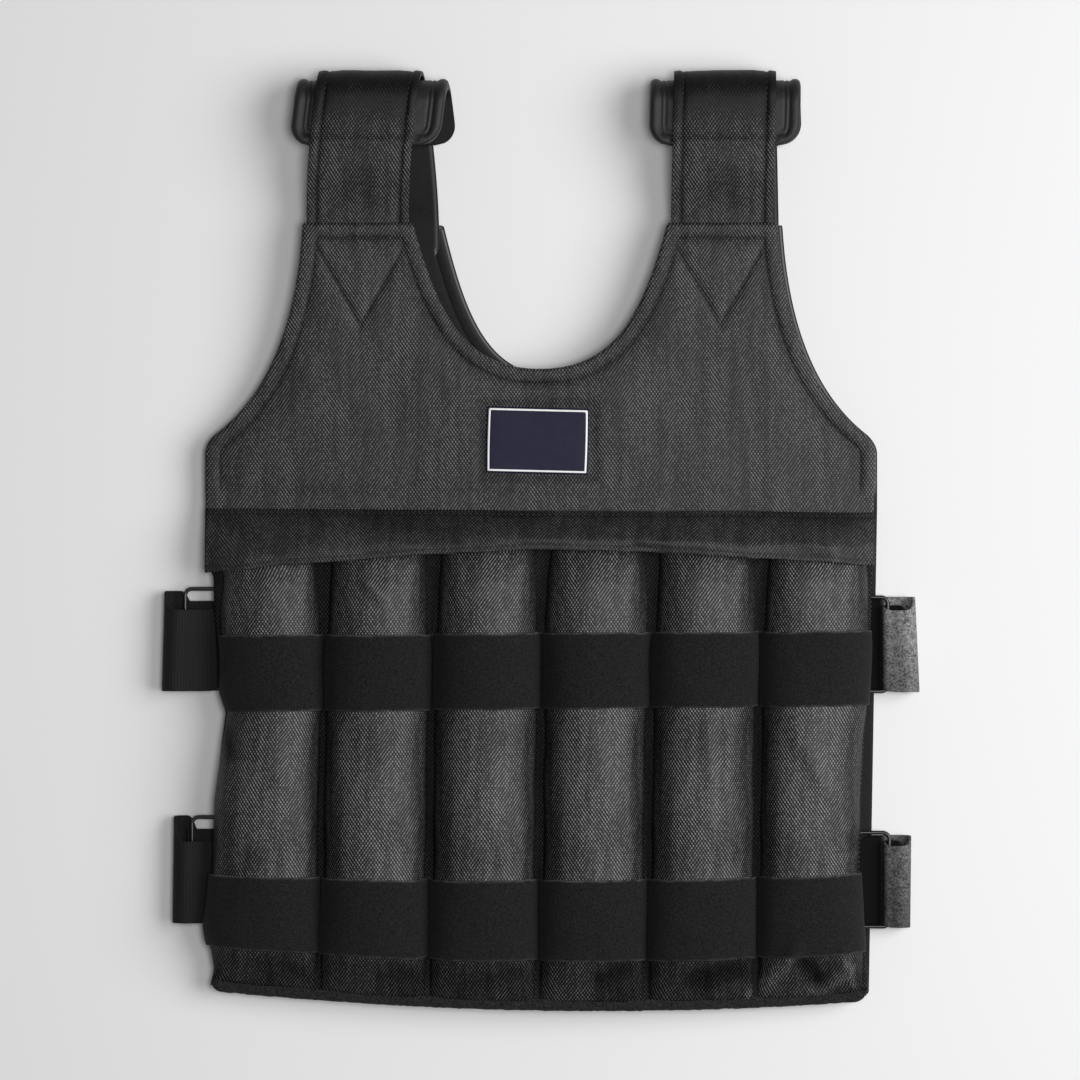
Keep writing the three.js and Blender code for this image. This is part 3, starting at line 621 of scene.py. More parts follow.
def section(along):
    """Height and width of a pocket's section, as shares"""
    spread = np.linspace(FOOT_START, 1, 401)
    found = []
    for column in (1, 2):
        rough = np.interp(spread, SECTIONS[:, 0], SECTIONS[:, column])
        kernel = np.hanning(13)
        padded = np.pad(rough, 6, mode="edge")
        found.append(np.interp(along, spread, np.convolve(padded, kernel / kernel.sum(), "valid")))
    return found


def pocket_middle(k, along):
    return (k - (POCKETS - 1) / 2) * POCKET_PITCH + POCKET_LEAN * (0.5 - along)


def pocket_y(x, along):
    tilt = ROW_TILT * (x / HEM_HALF) * 4 * along * (1 - along)
    return lerp(POCKET_FOOT, POCKET_MOUTH, along) + tilt + hem_drop(x) * (1 - along) ** 4


def ridge_height(x, y):
    total = 0 * x
    for row in RIDGES:
        step = np.array([row["x2"] - row["x1"], row["y2"] - row["y1"]], float)
        share = ((x - row["x1"]) * step[0] + (y - row["y1"]) * step[1]) / (step @ step)
        share = np.clip(share, 0, 1)
        away = np.hypot(x - row["x1"] - share * step[0], y - row["y1"] - share * step[1])
        total = total + RIDGE_RISE * row["height"] * hill(away, row["width"])
    return total


def pocket_crown(k, along, turn, grown=0.0, wrinkled=1.0):
    """Points of a pocket's crown; turn goes from 0 at the viewer's left to 1 at the right"""
    height, width = section(along)
    angle = np.pi * turn
    power = 2 / 2.15
    across = -np.sign(np.cos(angle)) * np.abs(np.cos(angle)) ** power
    up = np.sin(angle) ** power
    outer_side = (k == 0) * (across < 0) + (k == POCKETS - 1) * (across > 0)
    outer_side = OUTER_SIDE * outer_side * ease(along, 0, 0.12)
    x = pocket_middle(k, along) + across * (POCKET_WIDTH / 2 * width + grown + outer_side)
    y = pocket_y(x, along)
    x = drawn_in(x, y) + 0.9 * across * noise(y, 0 * y + 40 * k, 24, 60 + k) * wrinkled
    crown = POCKET_HEIGHT * FULLNESS[k] * height
    rough = 0.8 * noise(x, y, 31, 10 + k) + 0.35 * noise(x, y, 11, 20 + k)
    rough = rough + 0.35 * noise(x * 1.3, y * 0.35, 9, 30 + k) * ease(np.abs(along - 0.5), 0.2, 0.5)
    crown = crown + (rough + ridge_height(x, y)) * wrinkled * np.minimum(1, up * 1.5)
    z = panel_inside(x, 0) + PANEL + FIT + up * (crown + grown)
    return np.stack([x, y, z], axis=-1)


def tube_blank(rows, around):
    """A closed tube of rows rings, with around vertices each, numbered ring by ring"""
    blank = bmesh.new()
    bmesh.ops.create_cone(blank, cap_ends=True, segments=around, radius1=1, radius2=1, depth=2)
    long = [e for e in blank.edges if abs(e.verts[0].co.z - e.verts[1].co.z) > 1]
    bmesh.ops.subdivide_edges(blank, edges=long, cuts=rows - 2, use_grid_fill=True)
    at = blank.verts.layers.int.new("at")
    for vert in blank.verts:
        turn = math.atan2(vert.co.y, vert.co.x) / (2 * math.pi)
        row = round((vert.co.z + 1) / 2 * (rows - 1))
        vert[at] = row * around + round(turn * around) % around
    return blank


pocket_nylon = woven("pocket nylon", 0.001, 0.22, 0.34)
pockets = []
pocket_rows, pocket_columns = 131, 41
for k in range(POCKETS):
    along = np.linspace(FOOT_START, 1, pocket_rows)[:, None] + np.zeros(pocket_columns)
    turn = np.linspace(0.0, 1.0, pocket_columns) + 0 * along
    crown = pocket_crown(k, along, turn)
    seat = crown[:, ::-1][:, [8, 20, 32]].copy()
    seat[..., 2] = panel_inside(seat[..., 0], 0) + PANEL + FIT
    loops = np.concatenate([crown, seat], axis=1)
    round_it = np.concatenate([
        np.zeros((pocket_rows, 1)),
        np.cumsum(np.linalg.norm(np.diff(loops, axis=1), axis=2), axis=1),
    ], axis=1)
    middle = round_it[:, pocket_columns // 2][:, None]
    flat = np.stack([round_it - middle, loops[..., 1]], axis=-1).reshape(-1, 2)
    # Painted shade and light on the pockets: darker on the flanks, near the bands and in the dents,
    # lighter along the ridges at the feet. The feet are darker in random blotches, and the hidden
    # seat is fully shaded.
    edge = np.clip(np.sin(np.pi * turn), 0, 1)
    x, y = loops[:, :pocket_columns, 0], loops[:, :pocket_columns, 1]
    blotch = 0.5 + 0.5 * noise(x, y * 0.6, 23, 90 + k)
    near_band = np.maximum(hill(along - 0.555, 0.06), hill(along - 0.3, 0.05))
    foot = ease(0.13 - along, 0, 0.09)
    flank_shade = 1 - edge ** 1.3
    dent_shade = 0.85 * np.clip(-ridge_height(x, y) / 4, 0, 1)
    lit = np.clip(ridge_height(x, y) / 3, 0, 0.85) * foot
    pale = (1 - 0.72 * flank_shade) * (1 - (0.45 + 0.4 * blotch) * foot) * (1 - 0.3 * blotch * near_band)
    shade = 1 - (1 - (1 - pale) * (1 - lit)) * (1 - dent_shade)
    shade = np.concatenate([shade, np.ones((pocket_rows, 3))], axis=1)
    pocket = add_cloth(
        f"pocket_{k + 1}", [pocket_nylon], tube_blank(*loops.shape[:2]),
        loops.reshape(-1, 3), flat, {"shade": shade},
    )
    pockets.append(pocket)


# Bands
# Two hook-and-loop bands, sewn to the panel in the valleys between the pockets and stretched over
# each one. Their cut edges are a little frayed.
BAND = 45
BAND_THICK = 1.4


def sheet_blank(rows, columns):
    """A closed flat blank of two layers of rows by columns vertices, numbered row by row"""
    blank = bmesh.new()
    at = blank.verts.layers.int.new("at")
    bmesh.ops.create_grid(blank, x_segments=columns - 1, y_segments=rows - 1, size=0.5)
    for number, vert in enumerate(blank.verts):
        vert[at] = number
    return second_layer(blank, rows * columns)


loop_pile = fuzzy("loop pile", 0.003, 0.014, 1.1, roughness=0.95, sheen=0.03)


def add_band(node_name, level, seed):
    pocket_long = POCKET_MOUTH - POCKET_FOOT
    turns = np.linspace(0, 1, 33)
    turn = np.tile(turns, POCKETS)
    which = np.repeat(np.arange(POCKETS), len(turns))
    v = np.concatenate([[0, 0.012, 0.03], np.linspace(0.07, 0.93, 15), [0.97, 0.988, 1]])
    layers = []
    for grown in (FIT + BAND_THICK, FIT):
        columns = []
        for k, t in zip(which, turn):
            middle = pocket_middle(k, level)
            ragged = 0.45 * noise(middle + 30 * t, seed * 31.0, 1.6, seed)
            ragged += 0.6 * noise(middle + 60 * t, seed * 57.0, 14, seed + 7)
            ends = ragged / pocket_long * (2 * np.abs(v - 0.5)) ** 3
            along = level + BAND / pocket_long * (v - 0.5) + ends
            columns.append(pocket_crown(k, along, t + 0 * v, grown))
        layers.append(np.stack(columns, axis=1))
    outer, inner = layers
    floor = panel_inside(outer[..., 0], 0) + PANEL + FIT
    outer[..., 2] = np.maximum(outer[..., 2], floor + BAND_THICK)
    outer[..., 2] += 0.18 * noise(outer[..., 0], outer[..., 1], 4, seed + 3)
    points = np.concatenate([outer.reshape(-1, 3), inner.reshape(-1, 3)])
    frayed = np.maximum(hill(1 - v, 0.014), 0.5 * hill(v, 0.014))[:, None]
    frayed = frayed * (0.3 + 0.3 * noise(outer[..., 0], outer[..., 1], 2.1, seed + 5))
    band = add_cloth(
        node_name, [loop_pile], sheet_blank(*outer.shape[:2]), points, points[:, :2],
        {"fray_and_edge_highlight": np.stack([frayed, 0 * frayed])},
    )


add_band("band_upper", 0.7, 3)
add_band("band_lower", 0.155, 4)


# Flap
# A strip of the same nylon, sewn to the front panel above the pockets and hemmed. It hangs loose
# over the pockets' mouths and bows up towards the middle.
flap_nylon = woven("flap nylon", 0.008, 0.1, 0.25)
FLAP = 1.6
flap_rows, flap_columns = 30, 250


def smoothed(heights):
    """The same heights, each eased towards its two neighbours in the row"""
    eased = heights.copy()
    eased[:, 1:-1] = 0.25 * heights[:, :-2] + 0.5 * heights[:, 1:-1] + 0.25 * heights[:, 2:]
    return eased


u = np.linspace(-1, 1, flap_columns)[None, :] + np.zeros((flap_rows, 1))
v = np.linspace(0, 1, flap_rows)[:, None] + np.zeros((1, flap_columns))
reach = CHEST_HALF - FIT
x = u * reach
# Height of the lower edge over the photo's width, from the viewer's left to the right
FLAP_EDGE = (-19.2, -14.4, -10.8, -7.2, -5.0, -5.6, -8.2, -11.2, -14.8)
flap_edge = np.interp(u, np.linspace(-1, 1, len(FLAP_EDGE)), FLAP_EDGE)
flap_top = FLAP_SEAM_Y - 1.2 * u - 0.6 * (1 + 0.8 * noise(x, 0 * x, 60, 41))
for _ in range(40):
    flap_edge = smoothed(flap_edge)
uneven = 0.4 * noise(x, 0 * x, 37, 42) + 0.25 * noise(x, 0 * x, 9, 48)
y = lerp(flap_top, flap_edge + uneven, v)
cover = height_at(tree_of(*pockets), x, y)
panel = height_at(front_tree, x, y)
panel = np.where(panel > 0, panel, panel_inside(x, y) + PANEL)
reached = 8
spread = np.stack([np.roll(cover, s, axis=1) for s in range(-reached, reached + 1)]).max(axis=0)
for _ in range(60):
    spread = smoothed(spread)
side = ease(reach - np.abs(x), 0, 27)
tent = panel + POCKET_HEIGHT * 0.72 * ease(v, -0.15, 0.85) * lerp(0.25, 1, side)
z = np.maximum(tent, np.maximum(cover, lerp(cover, spread, side)) + FIT * 0.9)
slant = x * 0.55 + y
folds = 2.2 * noise(slant, y * 0.3, 23, 43) + 1.1 * noise(slant, y, 9, 44)
folds = folds + 0.4 * noise(x, y, 5, 45)
folds = folds + 1.1 * hill((y - lerp(9, -3, (u + 1) / 2)) + 2 * noise(x, 0 * x, 31, 46), 2.2)
z = z + (folds + 0.8) * 4 * v * (1 - v) * (v > 0)
smooth_z = z.copy()
for _ in range(6):
    smooth_z[1:-1, 1:-1] = 0.2 * (
        smooth_z[1:-1, 1:-1] + smooth_z[:-2, 1:-1] + smooth_z[2:, 1:-1]
        + smooth_z[1:-1, :-2] + smooth_z[1:-1, 2:]
    )
z = np.maximum(smooth_z, np.maximum(cover + FIT * 0.6, panel + FIT * 0.6))
hem_line = hill((1 - v) * (flap_top - flap_edge) - 3.0, 0.9)
seam_line = hill(v * (flap_top - flap_edge) - 2.2, 1.2)
top = z + FLAP - 0.25 * hem_line - 0.5 * seam_line
points = np.concatenate([
    np.stack([x, y, top], axis=-1).reshape(-1, 3), np.stack([x, y, z], axis=-1).reshape(-1, 3),
])
down = np.concatenate([
    np.zeros((1, flap_columns)),
    np.cumsum(np.hypot(np.diff(y, axis=0), np.diff(top, axis=0)), axis=0),
])
flat = np.stack([x, -down], axis=-1).reshape(-1, 2)
groove = np.maximum(hem_line * 0.7, seam_line)
shade = np.clip(0.5 * hill(v, 0.28) + 0.3 * noise(x * 0.7 + y, y * 0.5, 13, 47), 0, 1)
flap = add_cloth(
    "flap", [flap_nylon], sheet_blank(flap_rows, flap_columns), points,
    np.tile(flat, (2, 1)),
    {"groove": np.stack([groove * 0.8, 0 * groove]), "shade": np.stack([shade, np.ones_like(v)])},
)
flap_tree = tree_of(flap)
row = np.linspace(-reach + 3, reach - 3, 400)
edge_line = np.interp(row, x[-1], y[-1])
seam_top = np.interp(row, x[0], y[0])
sew(np.stack([row, edge_line + 3.0], axis=1), flap_tree)
sew(np.stack([row, seam_top - 2.2], axis=1), flap_tree)


# Hem binding
# A binding tape, folded round the front panel's lower edge and sewn through. Most of its upper
# side is under the pockets' feet.
HEM_TAPE = 1.5
TAPE_SEEN = 3.6


def arc(centre, radius, start, end, steps=24):
    angle = np.radians(np.linspace(start, end, steps + 1))
    return np.array(centre) + radius * np.stack([np.cos(angle), np.sin(angle)], axis=1)


def add_strip(
    node_name, materials, path, thickness, across, place, lift=0.0, marks=None,
):
    """A band of cloth along a plane path. across is how far each vertex of each row is from the
    middle line, place puts path points and across in space, and lift raises the outer face."""
    along = np.gradient(path, axis=0)
    along /= np.linalg.norm(along, axis=1)[:, None]
    side = np.stack([-along[:, 1], along[:, 0]], axis=1)[:, None, :]
    points = []
    for off in (thickness / 2 + lift, -thickness / 2):
        layer = path[:, None, :] + side * (off + 0 * across)[..., None]
        points.append(place(layer[..., 0], layer[..., 1], across).reshape(-1, 3))
    down = np.broadcast_to(lengths(path)[:, None], across.shape)
    flat = np.stack([across, down], axis=-1).reshape(-1, 2)
    blank = sheet_blank(*across.shape)
    return add_cloth(
        node_name, materials, blank, np.concatenate(points), np.tile(flat, (2, 1)), marks,
    )


binding_tape = fuzzy("binding tape", 0.003, 0.024, 1.2, roughness=0.9, sheen=0.03)
half = PANEL / 2 + FIT + HEM_TAPE / 2
hem_path = np.concatenate([
    [(HEM_COVER, -half)], arc((0, 0), half, -90, -270, 20), [(TAPE_SEEN, half)],
])
hem_path = spaced(hem_path, 0.9)
columns = np.linspace(-(HEM_HALF - FIT), HEM_HALF - FIT, 200)
across = columns[None, :] + np.zeros((len(hem_path), 1))
wave = 0.5 * noise(across, 0 * across, 6, 51) + 1.5 * noise(across, 0 * across, 24, 52)


def on_hem(a, b, c):
    y = HEM_Y + hem_drop(c) + a + wave * ease(a, 2, 6)
    corner = 7 - np.minimum(7, HEM_HALF - np.abs(c))
    y = y + (7 - np.sqrt(np.clip(49 - corner**2, 0, 49))) * ease(4 - a, 0, 4)
    return np.stack([drawn_in(c, y), y, panel_inside(c, y) + PANEL / 2 + b], axis=-1)


add_strip(
    "hem_binding", [binding_tape], hem_path, HEM_TAPE, across, on_hem,
    0.3 * noise(across, 5 * across, 3, 53),
)


# Label
# A plain navy patch, woven, with a raised border satin-stitched in white. It is sewn flat to the
# chest, a little turned.
LABEL_TURN = math.radians(-1.4)
BORDER_INSET = 0.9
BORDER = 1.25


def ribbed(name, dark, light, pitch, roughness=0.6, bump=0.6, blue=0.0, specular=0.15):
    """Webbing with ribs across its length"""
    material, tree, shader = new_material(name, roughness, specular)
    flat = node(tree, "UVMap", uv_map="cloth").outputs[0]
    split = node(tree, "SeparateXYZ", {0: flat})
    rib = sums(tree, "SINE", sums(tree, "MULTIPLY", split.outputs[1], 2 * math.pi / pitch))
    cross = sums(tree, "SINE", sums(tree, "MULTIPLY", split.outputs[0], 2 * math.pi / pitch))
    height = sums(tree, "MULTIPLY_ADD", cross, 0.35, rib)
    tone = node(tree, "MapRange", {0: height, 1: -1.0, 2: 1.2})
    colour = blend(tree, tone.outputs[0], grey(dark, blue), grey(light, blue))
    colour = darkened(tree, colour, "groove", 0.7)
    surface(tree, shader, colour, height, bump, 0.0003)
    return material


def plain(name, value, roughness):
    material, _, shader = new_material(name, roughness)
    shader.inputs["Base Color"].default_value = grey(value)
    return material


label_cloth = ribbed("label cloth", 0.011, 0.018, 0.5, roughness=0.5, bump=0.3, blue=1.5)
label_border = plain("label border", 0.88, 0.7)


def on_label(across, up):
    """Where places on the flat patch lie on the chest: turned, with its two sides bowed out"""
    bow = 0.3 * (up / LABEL_HEIGHT * 2) ** 2 * np.sign(across)
    turn, lean = math.cos(LABEL_TURN), math.sin(LABEL_TURN)
    return (across - bow) * turn - up * lean - 1.5, LABEL_Y + across * lean + up * turn


rows, columns = 32, 48
across, up = np.meshgrid(
    np.linspace(-0.5, 0.5, columns) * LABEL_WIDTH, np.linspace(-0.5, 0.5, rows) * LABEL_HEIGHT,
)
x, y = on_label(across, up)
chest = height_at(front_tree, x, y)
for _ in range(8):
    chest[1:-1, 1:-1] = 0.25 * (
        chest[:-2, 1:-1] + chest[2:, 1:-1] + chest[1:-1, :-2] + chest[1:-1, 2:]
    )
ripple = 0.25 * noise(across * 0.6 + up, up, 9, 61) + 0.15 * noise(across, up, 5, 62)
edge_gap = np.minimum(LABEL_WIDTH / 2 - np.abs(across), LABEL_HEIGHT / 2 - np.abs(up))
points = np.concatenate([
    np.stack([x, y, chest + rise], axis=-1).reshape(-1, 3)
    for rise in (1.2 + ripple - 0.45 * hill(edge_gap, 1.2), 0.2)
])
flat = np.stack([up, across], axis=-1).reshape(-1, 2)
label = add_cloth(
    "label", [label_cloth], sheet_blank(rows, columns), points, np.tile(flat, (2, 1)),
)


def ring_blank(sections, around):
    """A closed ring of sections loops, with around vertices each, numbered loop by loop"""
    blank = bmesh.new()
    at = blank.verts.layers.int.new("at")
    stand = Matrix.Translation((3, 0, 0)) @ Matrix.Rotation(math.pi / 2, 4, "X")
    bmesh.ops.create_circle(blank, segments=around, radius=1, matrix=stand)
    for number, vert in enumerate(blank.verts):
        vert[at] = number
    bmesh.ops.spin(
        blank, geom=blank.verts[:] + blank.edges[:], cent=(0, 0, 0), axis=(0, 0, 1),
        angle=2 * math.pi, steps=sections, use_merge=True,
    )
    for vert in blank.verts:
        turn = math.atan2(vert.co.y, vert.co.x) / (2 * math.pi)
        vert[at] += round(turn * sections) % sections * around
    return blank


half_x, half_y = LABEL_WIDTH / 2 - BORDER_INSET, LABEL_HEIGHT / 2 - BORDER_INSET
rim = spaced([
    (-half_x, -half_y), (half_x, -half_y), (half_x, half_y), (-half_x, half_y), (-half_x, -half_y),
], 1.0)[:-1]
inward = np.where(np.abs(np.abs(rim) - (half_x, half_y)) < 0.6, -np.sign(rim), 0)
label_tree = tree_of(label)
loops = []
for share, rise in ((0, 0.02), (0.12, 0.28), (0.5, 0.36), (0.88, 0.28), (1, 0.02)):
    x, y = on_label(*(rim + inward * BORDER * share).T)
    z = height_at(label_tree, x, y, missing=np.nan)
    loops.append(np.stack([x, y, np.where(np.isnan(z), np.nanmean(z), z) + rise], axis=1))
loops = np.stack(loops + [(loops[0] + loops[-1]) / 2 - (0, 0, 0.3)], axis=1)
border = ring_blank(*loops.shape[:2])
at = border.verts.layers.int["at"]
for vert in border.verts:
    vert.co = loops.reshape(-1, 3)[vert[at]]
add_piece("label_border", ["label"], [label_border], border)


# Shoulder straps and pads
# Each nylon strap is sewn under the front panel's shoulder, runs over a padded strip folded in two
# and bound along its edges, and comes back to the back panel. Both its ends are cut to a point,
# and strap and pad fold at the top of the vest.
STRAP = 2.6
PAD = 5.5
PAD_WIDTH = 90
STRAP_TOP_Y = 281.5
FOLD_HEIGHT = 2 * (PAD + FIT + STRAP) + 16
TIP_DROP, TIP_LENGTH = 62, 48
PAD_FRONT, PAD_BACK, PAD_CORNER = 236, 238, 13

strap_nylon = woven("strap nylon", 0.003, 0.12, 0.2)
pad_nylon = fuzzy("pad nylon", 0.010, 0.022, 0.9, roughness=0.5, bump=0.15)


def softened(line, passes):
    """The line with its corners eased, its ends kept"""
    line = line.copy()
    for _ in range(passes):
        line[1:-1] = 0.25 * line[:-2] + 0.5 * line[1:-1] + 0.25 * line[2:]
    return line


def mirrored(half):
    """Places across a strip, from those in its one half"""
    half = np.array(half)
    return np.concatenate([half, [0], -half[::-1]])


def add_shoulder(name, side):
    front_x = side * (NECK_HALF + STRAP_MARGIN + STRAP_WIDTH / 2)
    back_x = BACK_SHIFT + side * (BACK_NECK_HALF + STRAP_MARGIN + STRAP_WIDTH / 2)
    outer_edge = side * (NECK_HALF + STRAP_MARGIN + STRAP_WIDTH)

    def middle(share):
        return lerp(front_x, back_x, ease(share, 0.2, 0.85))

    def under_panel(y):
        return panel_inside(outer_edge, y) - FIT - STRAP / 2

    half = STRAP / 2
    tip = SHOULDER_Y - TIP_DROP
    top_z = 0.3 + FOLD_HEIGHT - half
    low_z = 0.3 + half
    radius = (top_z - low_z) / 2
    fold_y = STRAP_TOP_Y - half - radius
    back_z = BACK + FIT + half
    y = np.linspace(tip, SHOULDER_Y - 1, 30)
    under = np.stack([y, under_panel(y)], axis=1)
    t = np.linspace(0.05, 1, 24)
    y = lerp(SHOULDER_Y, PAD_FRONT - 3, t)
    climb = np.stack([y, lerp(under_panel(SHOULDER_Y), top_z, ease(t))], axis=1)
    flat_end = tip + TIP_LENGTH
    landing = [
        (SHOULDER_Y + 24, low_z), (SHOULDER_Y + 13, lerp(low_z, back_z, 0.35)),
        (SHOULDER_Y + 3, back_z),
        (flat_end, back_z), (tip, back_z),
    ]
    fold = arc((fold_y, top_z - radius), radius, 90, -90, 60)
    path = np.concatenate([under, climb, fold, landing])
    path = softened(spaced(path, 1.8), 3)
    run = lengths(path)
    share = run / run[-1]
    shares = mirrored([
        -1, -0.985, -0.95, -0.9, -0.86, -0.835, -0.815, -0.795, -0.76, -0.7, -0.55, -0.35, -0.15,
    ])
    point = np.clip((path[:, 0] - tip) / TIP_LENGTH, 0, 1)
    width = lerp(6, STRAP_WIDTH, point) / 2
    across = width[:, None] * shares[None, :]
    from_edge = STRAP_WIDTH / 2 - np.abs(across)
    seen = ((path[:, 0] > SHOULDER_Y - 4) & (share < 0.6))[:, None]
    seam = hill(from_edge - 5.6, 0.7) * seen
    on_top = (ease(path[:, 0], 236, 240) * (share < 0.6))[:, None] + 0 * across
    puff = 0.5 * hill(from_edge - 2.8, 2.0) + 0.6 * ease(from_edge, 6, 14)
    ridge = 1.1 * hill(path[:, 0] - 238, 2.6)[:, None] * (path[:, 1] > 20)[:, None]
    down = np.broadcast_to(run[:, None], across.shape)
    rough = 0.35 * noise(across + 40 * side, down, 13, 71) + 0.15 * noise(across, down, 5, 72)
    lift = (puff + rough * ease(from_edge, 0, 4)) * seen
    lift = lift - 0.6 * seam + ridge * ease(from_edge, 0, 3)
    centre = middle(share)[:, None]

    def place(a, b, c):
        return np.stack([centre + c, a, b], axis=-1)

    lift = np.where((share > 0.5)[:, None], np.minimum(lift, 0), lift)
    # The lining of the strap's back run gets a painted highlight along its edges.
    behind = ((share > 0.6) + 0 * share)[:, None] * hill(from_edge - 2.0, 0.55)
    marks = {
        "groove": np.stack([seam, 0 * seam]),
        "shade": np.stack([0.15 * on_top + 0.35 * hill(from_edge - 5.6, 1.8), 0 * on_top]),
        # Painted shade on the strap's curve up over the fold, with its weave smoothed away.
        "smooth_and_shaded": np.stack([0.85 * ease(path[:, 0], 246, 262)[:, None] * (on_top > 0), 0 * on_top]),
        "fray_and_edge_highlight": np.stack([0 * behind, behind * 0.8]),
    }
    strap = add_strip(
        f"shoulder_strap_{name}", [strap_nylon, lining], path, STRAP, across,
        place, lift, marks,
    )
    tree = tree_of(strap)
    visible = (path[:, 0] > SHOULDER_Y + 1) & (share < 0.5) & (path[:, 1] > 21)
    for off in (-1, 1):
        seam_x = centre[visible, 0] + off * (STRAP_WIDTH / 2 - 5.6)
        sew(np.stack([seam_x, path[visible, 0]], axis=1), tree)

    # The pad is one padded strip folded inside the strap, bound along its edges.
    pad_half = PAD / 2
    pad_top = top_z - half - FIT - pad_half
    pad_low = low_z + half + FIT + pad_half
    radius = (pad_top - pad_low) / 2
    fold_y = STRAP_TOP_Y - STRAP - 3 - pad_half - radius
    path = np.concatenate([
        [(PAD_FRONT, pad_top)], arc((fold_y, pad_top - radius), radius, 90, -90, 60),
        [(PAD_BACK, pad_low)],
    ])
    path = spaced(path, 1.2)
    run = lengths(path)
    share = run / run[-1]
    low = np.where(share > 0.5, PAD_BACK, PAD_FRONT)
    into = np.clip((path[:, 0] - low) / PAD_CORNER, 0, 1)
    width = PAD_WIDTH / 2 - PAD_CORNER + PAD_CORNER * np.sqrt(1 - (1 - into) ** 2)
    shares = mirrored([
        -1, -0.985, -0.95, -0.9, -0.86, -0.845, -0.83, -0.81, -0.8, -0.785, -0.77, -0.75, -0.7,
        -0.5, -0.25,
    ])
    across = width[:, None] * shares[None, :]
    down = np.broadcast_to(run[:, None], across.shape)
    from_side = width[:, None] - np.abs(across)
    from_end = np.minimum(run, run[-1] - run)[:, None] + 0 * across
    from_edge = np.minimum(from_side, from_end)
    grooves = np.maximum(hill(from_edge - 6.6, 0.6), 0.8 * hill(from_edge - 9.4, 0.55))
    roll = 0.9 * np.sqrt(np.clip(1 - ((from_edge - 3.3) / 3.3) ** 2, 0, 1))
    near_edge = 1 - np.clip(from_edge / 2.5, 0, 1)
    round_off = -PAD * 0.42 * (1 - np.sqrt(1 - near_edge**2))
    lift = roll + round_off - 0.8 * grooves + 0.2 * noise(across, down, 12, 81)
    # Where the strap presses on it the pad stays as thin as it was.
    pressed = ease(STRAP_WIDTH / 2 + 3 - np.abs(across), 0, 3)
    lift = lift * (1 - pressed)
    centre = middle(lerp(0.4, 0.66, share))[:, None]
    marks = {"groove": np.stack([grooves * (1 - pressed), 0 * grooves])}
    pad = add_strip(
        f"shoulder_pad_{name}", [pad_nylon, lining], path, PAD, across, place, lift,
        marks,
    )


add_shoulder("left", -1)
add_shoulder("right", 1)


# Side straps, rings and tabs
# Four straps of 2 inch webbing, sewn to the back panel. Each comes out at the side, loops back and
# is slipped round the bar of a bent wire ring, and a folded tab holds the ring under the front
# panel. At the viewer's right the pale, brushed side of the webbing shows.
WEBBING_WIDTH = 49
LOOP_REACH = 29.5
RING_GAP = 1.2
RING_DEEP = 34
RING_CORNER = 4
WIRE_RADIUS = 0.4 * WIRE  # less than half, so that the ring is loose in its loops
SIDE_STRAPS = [
    dict(name="upper_left", side=-1, level=0.707, reach=1.0, bar=0.58, turn=-0.15, bulge=1.0,
         skew=5, low=11, slack=7, flare=1.6, pale=0),
    dict(name="lower_left", side=-1, level=0.225, reach=0.81, bar=0.44, turn=-0.15, bulge=1.0,
         skew=7, low=15, slack=7, flare=0.8, pale=0),
    dict(name="upper_right", side=1, level=0.705, reach=1.0, bar=0.44, turn=0.31, bulge=0.7,
         skew=3, low=8, slack=4.5, flare=2.6, pale=0.8),
    dict(name="lower_right", side=1, level=0.215, reach=0.92, bar=0.47, turn=0.34, bulge=0.5,
         skew=3, low=6, slack=4.5, flare=-0.6, pale=0.42),
]
RING_Z = BACK + WEBBING + TAB + 3 * FIT + WIRE / 2

webbing = ribbed("webbing", 0.010, 0.017, 1.7, roughness=0.75, bump=0.15, specular=0.12)
wire_metal = plain("wire", 0.008, 0.3)


def fleece():
    """Brushed webbing, pale and hairy where its tone is 1 and black where it is 0. The tone is
    partly the webbing's two sides and partly painted shade.
    """
    material, tree, shader = new_material("fleece webbing", 1.0, 0.1)
    place = node(tree, "TexCoord").outputs["Object"]
    hair = node(tree, "TexNoise", {
        "Vector": place, "Scale": 850.0, "Detail": 2.0, "Roughness": 0.6,
    })
    tuft = node(tree, "TexNoise", {"Vector": place, "Scale": 240.0, "Detail": 1.0})
    mixed = sums(tree, "MULTIPLY_ADD", tuft.outputs[0], 0.3, hair.outputs[0])
    pale = node(tree, "MapRange", {0: mixed, 1: 0.45, 2: 0.95})
    colour = blend(tree, pale.outputs[0], grey(0.07), grey(0.52))
    colour = blend(tree, mark(tree, "tone"), grey(0.006), colour)
    surface(tree, shader, colour, hair.outputs[0], 0.8, 0.0006)
    return material


fleece_webbing = fleece()


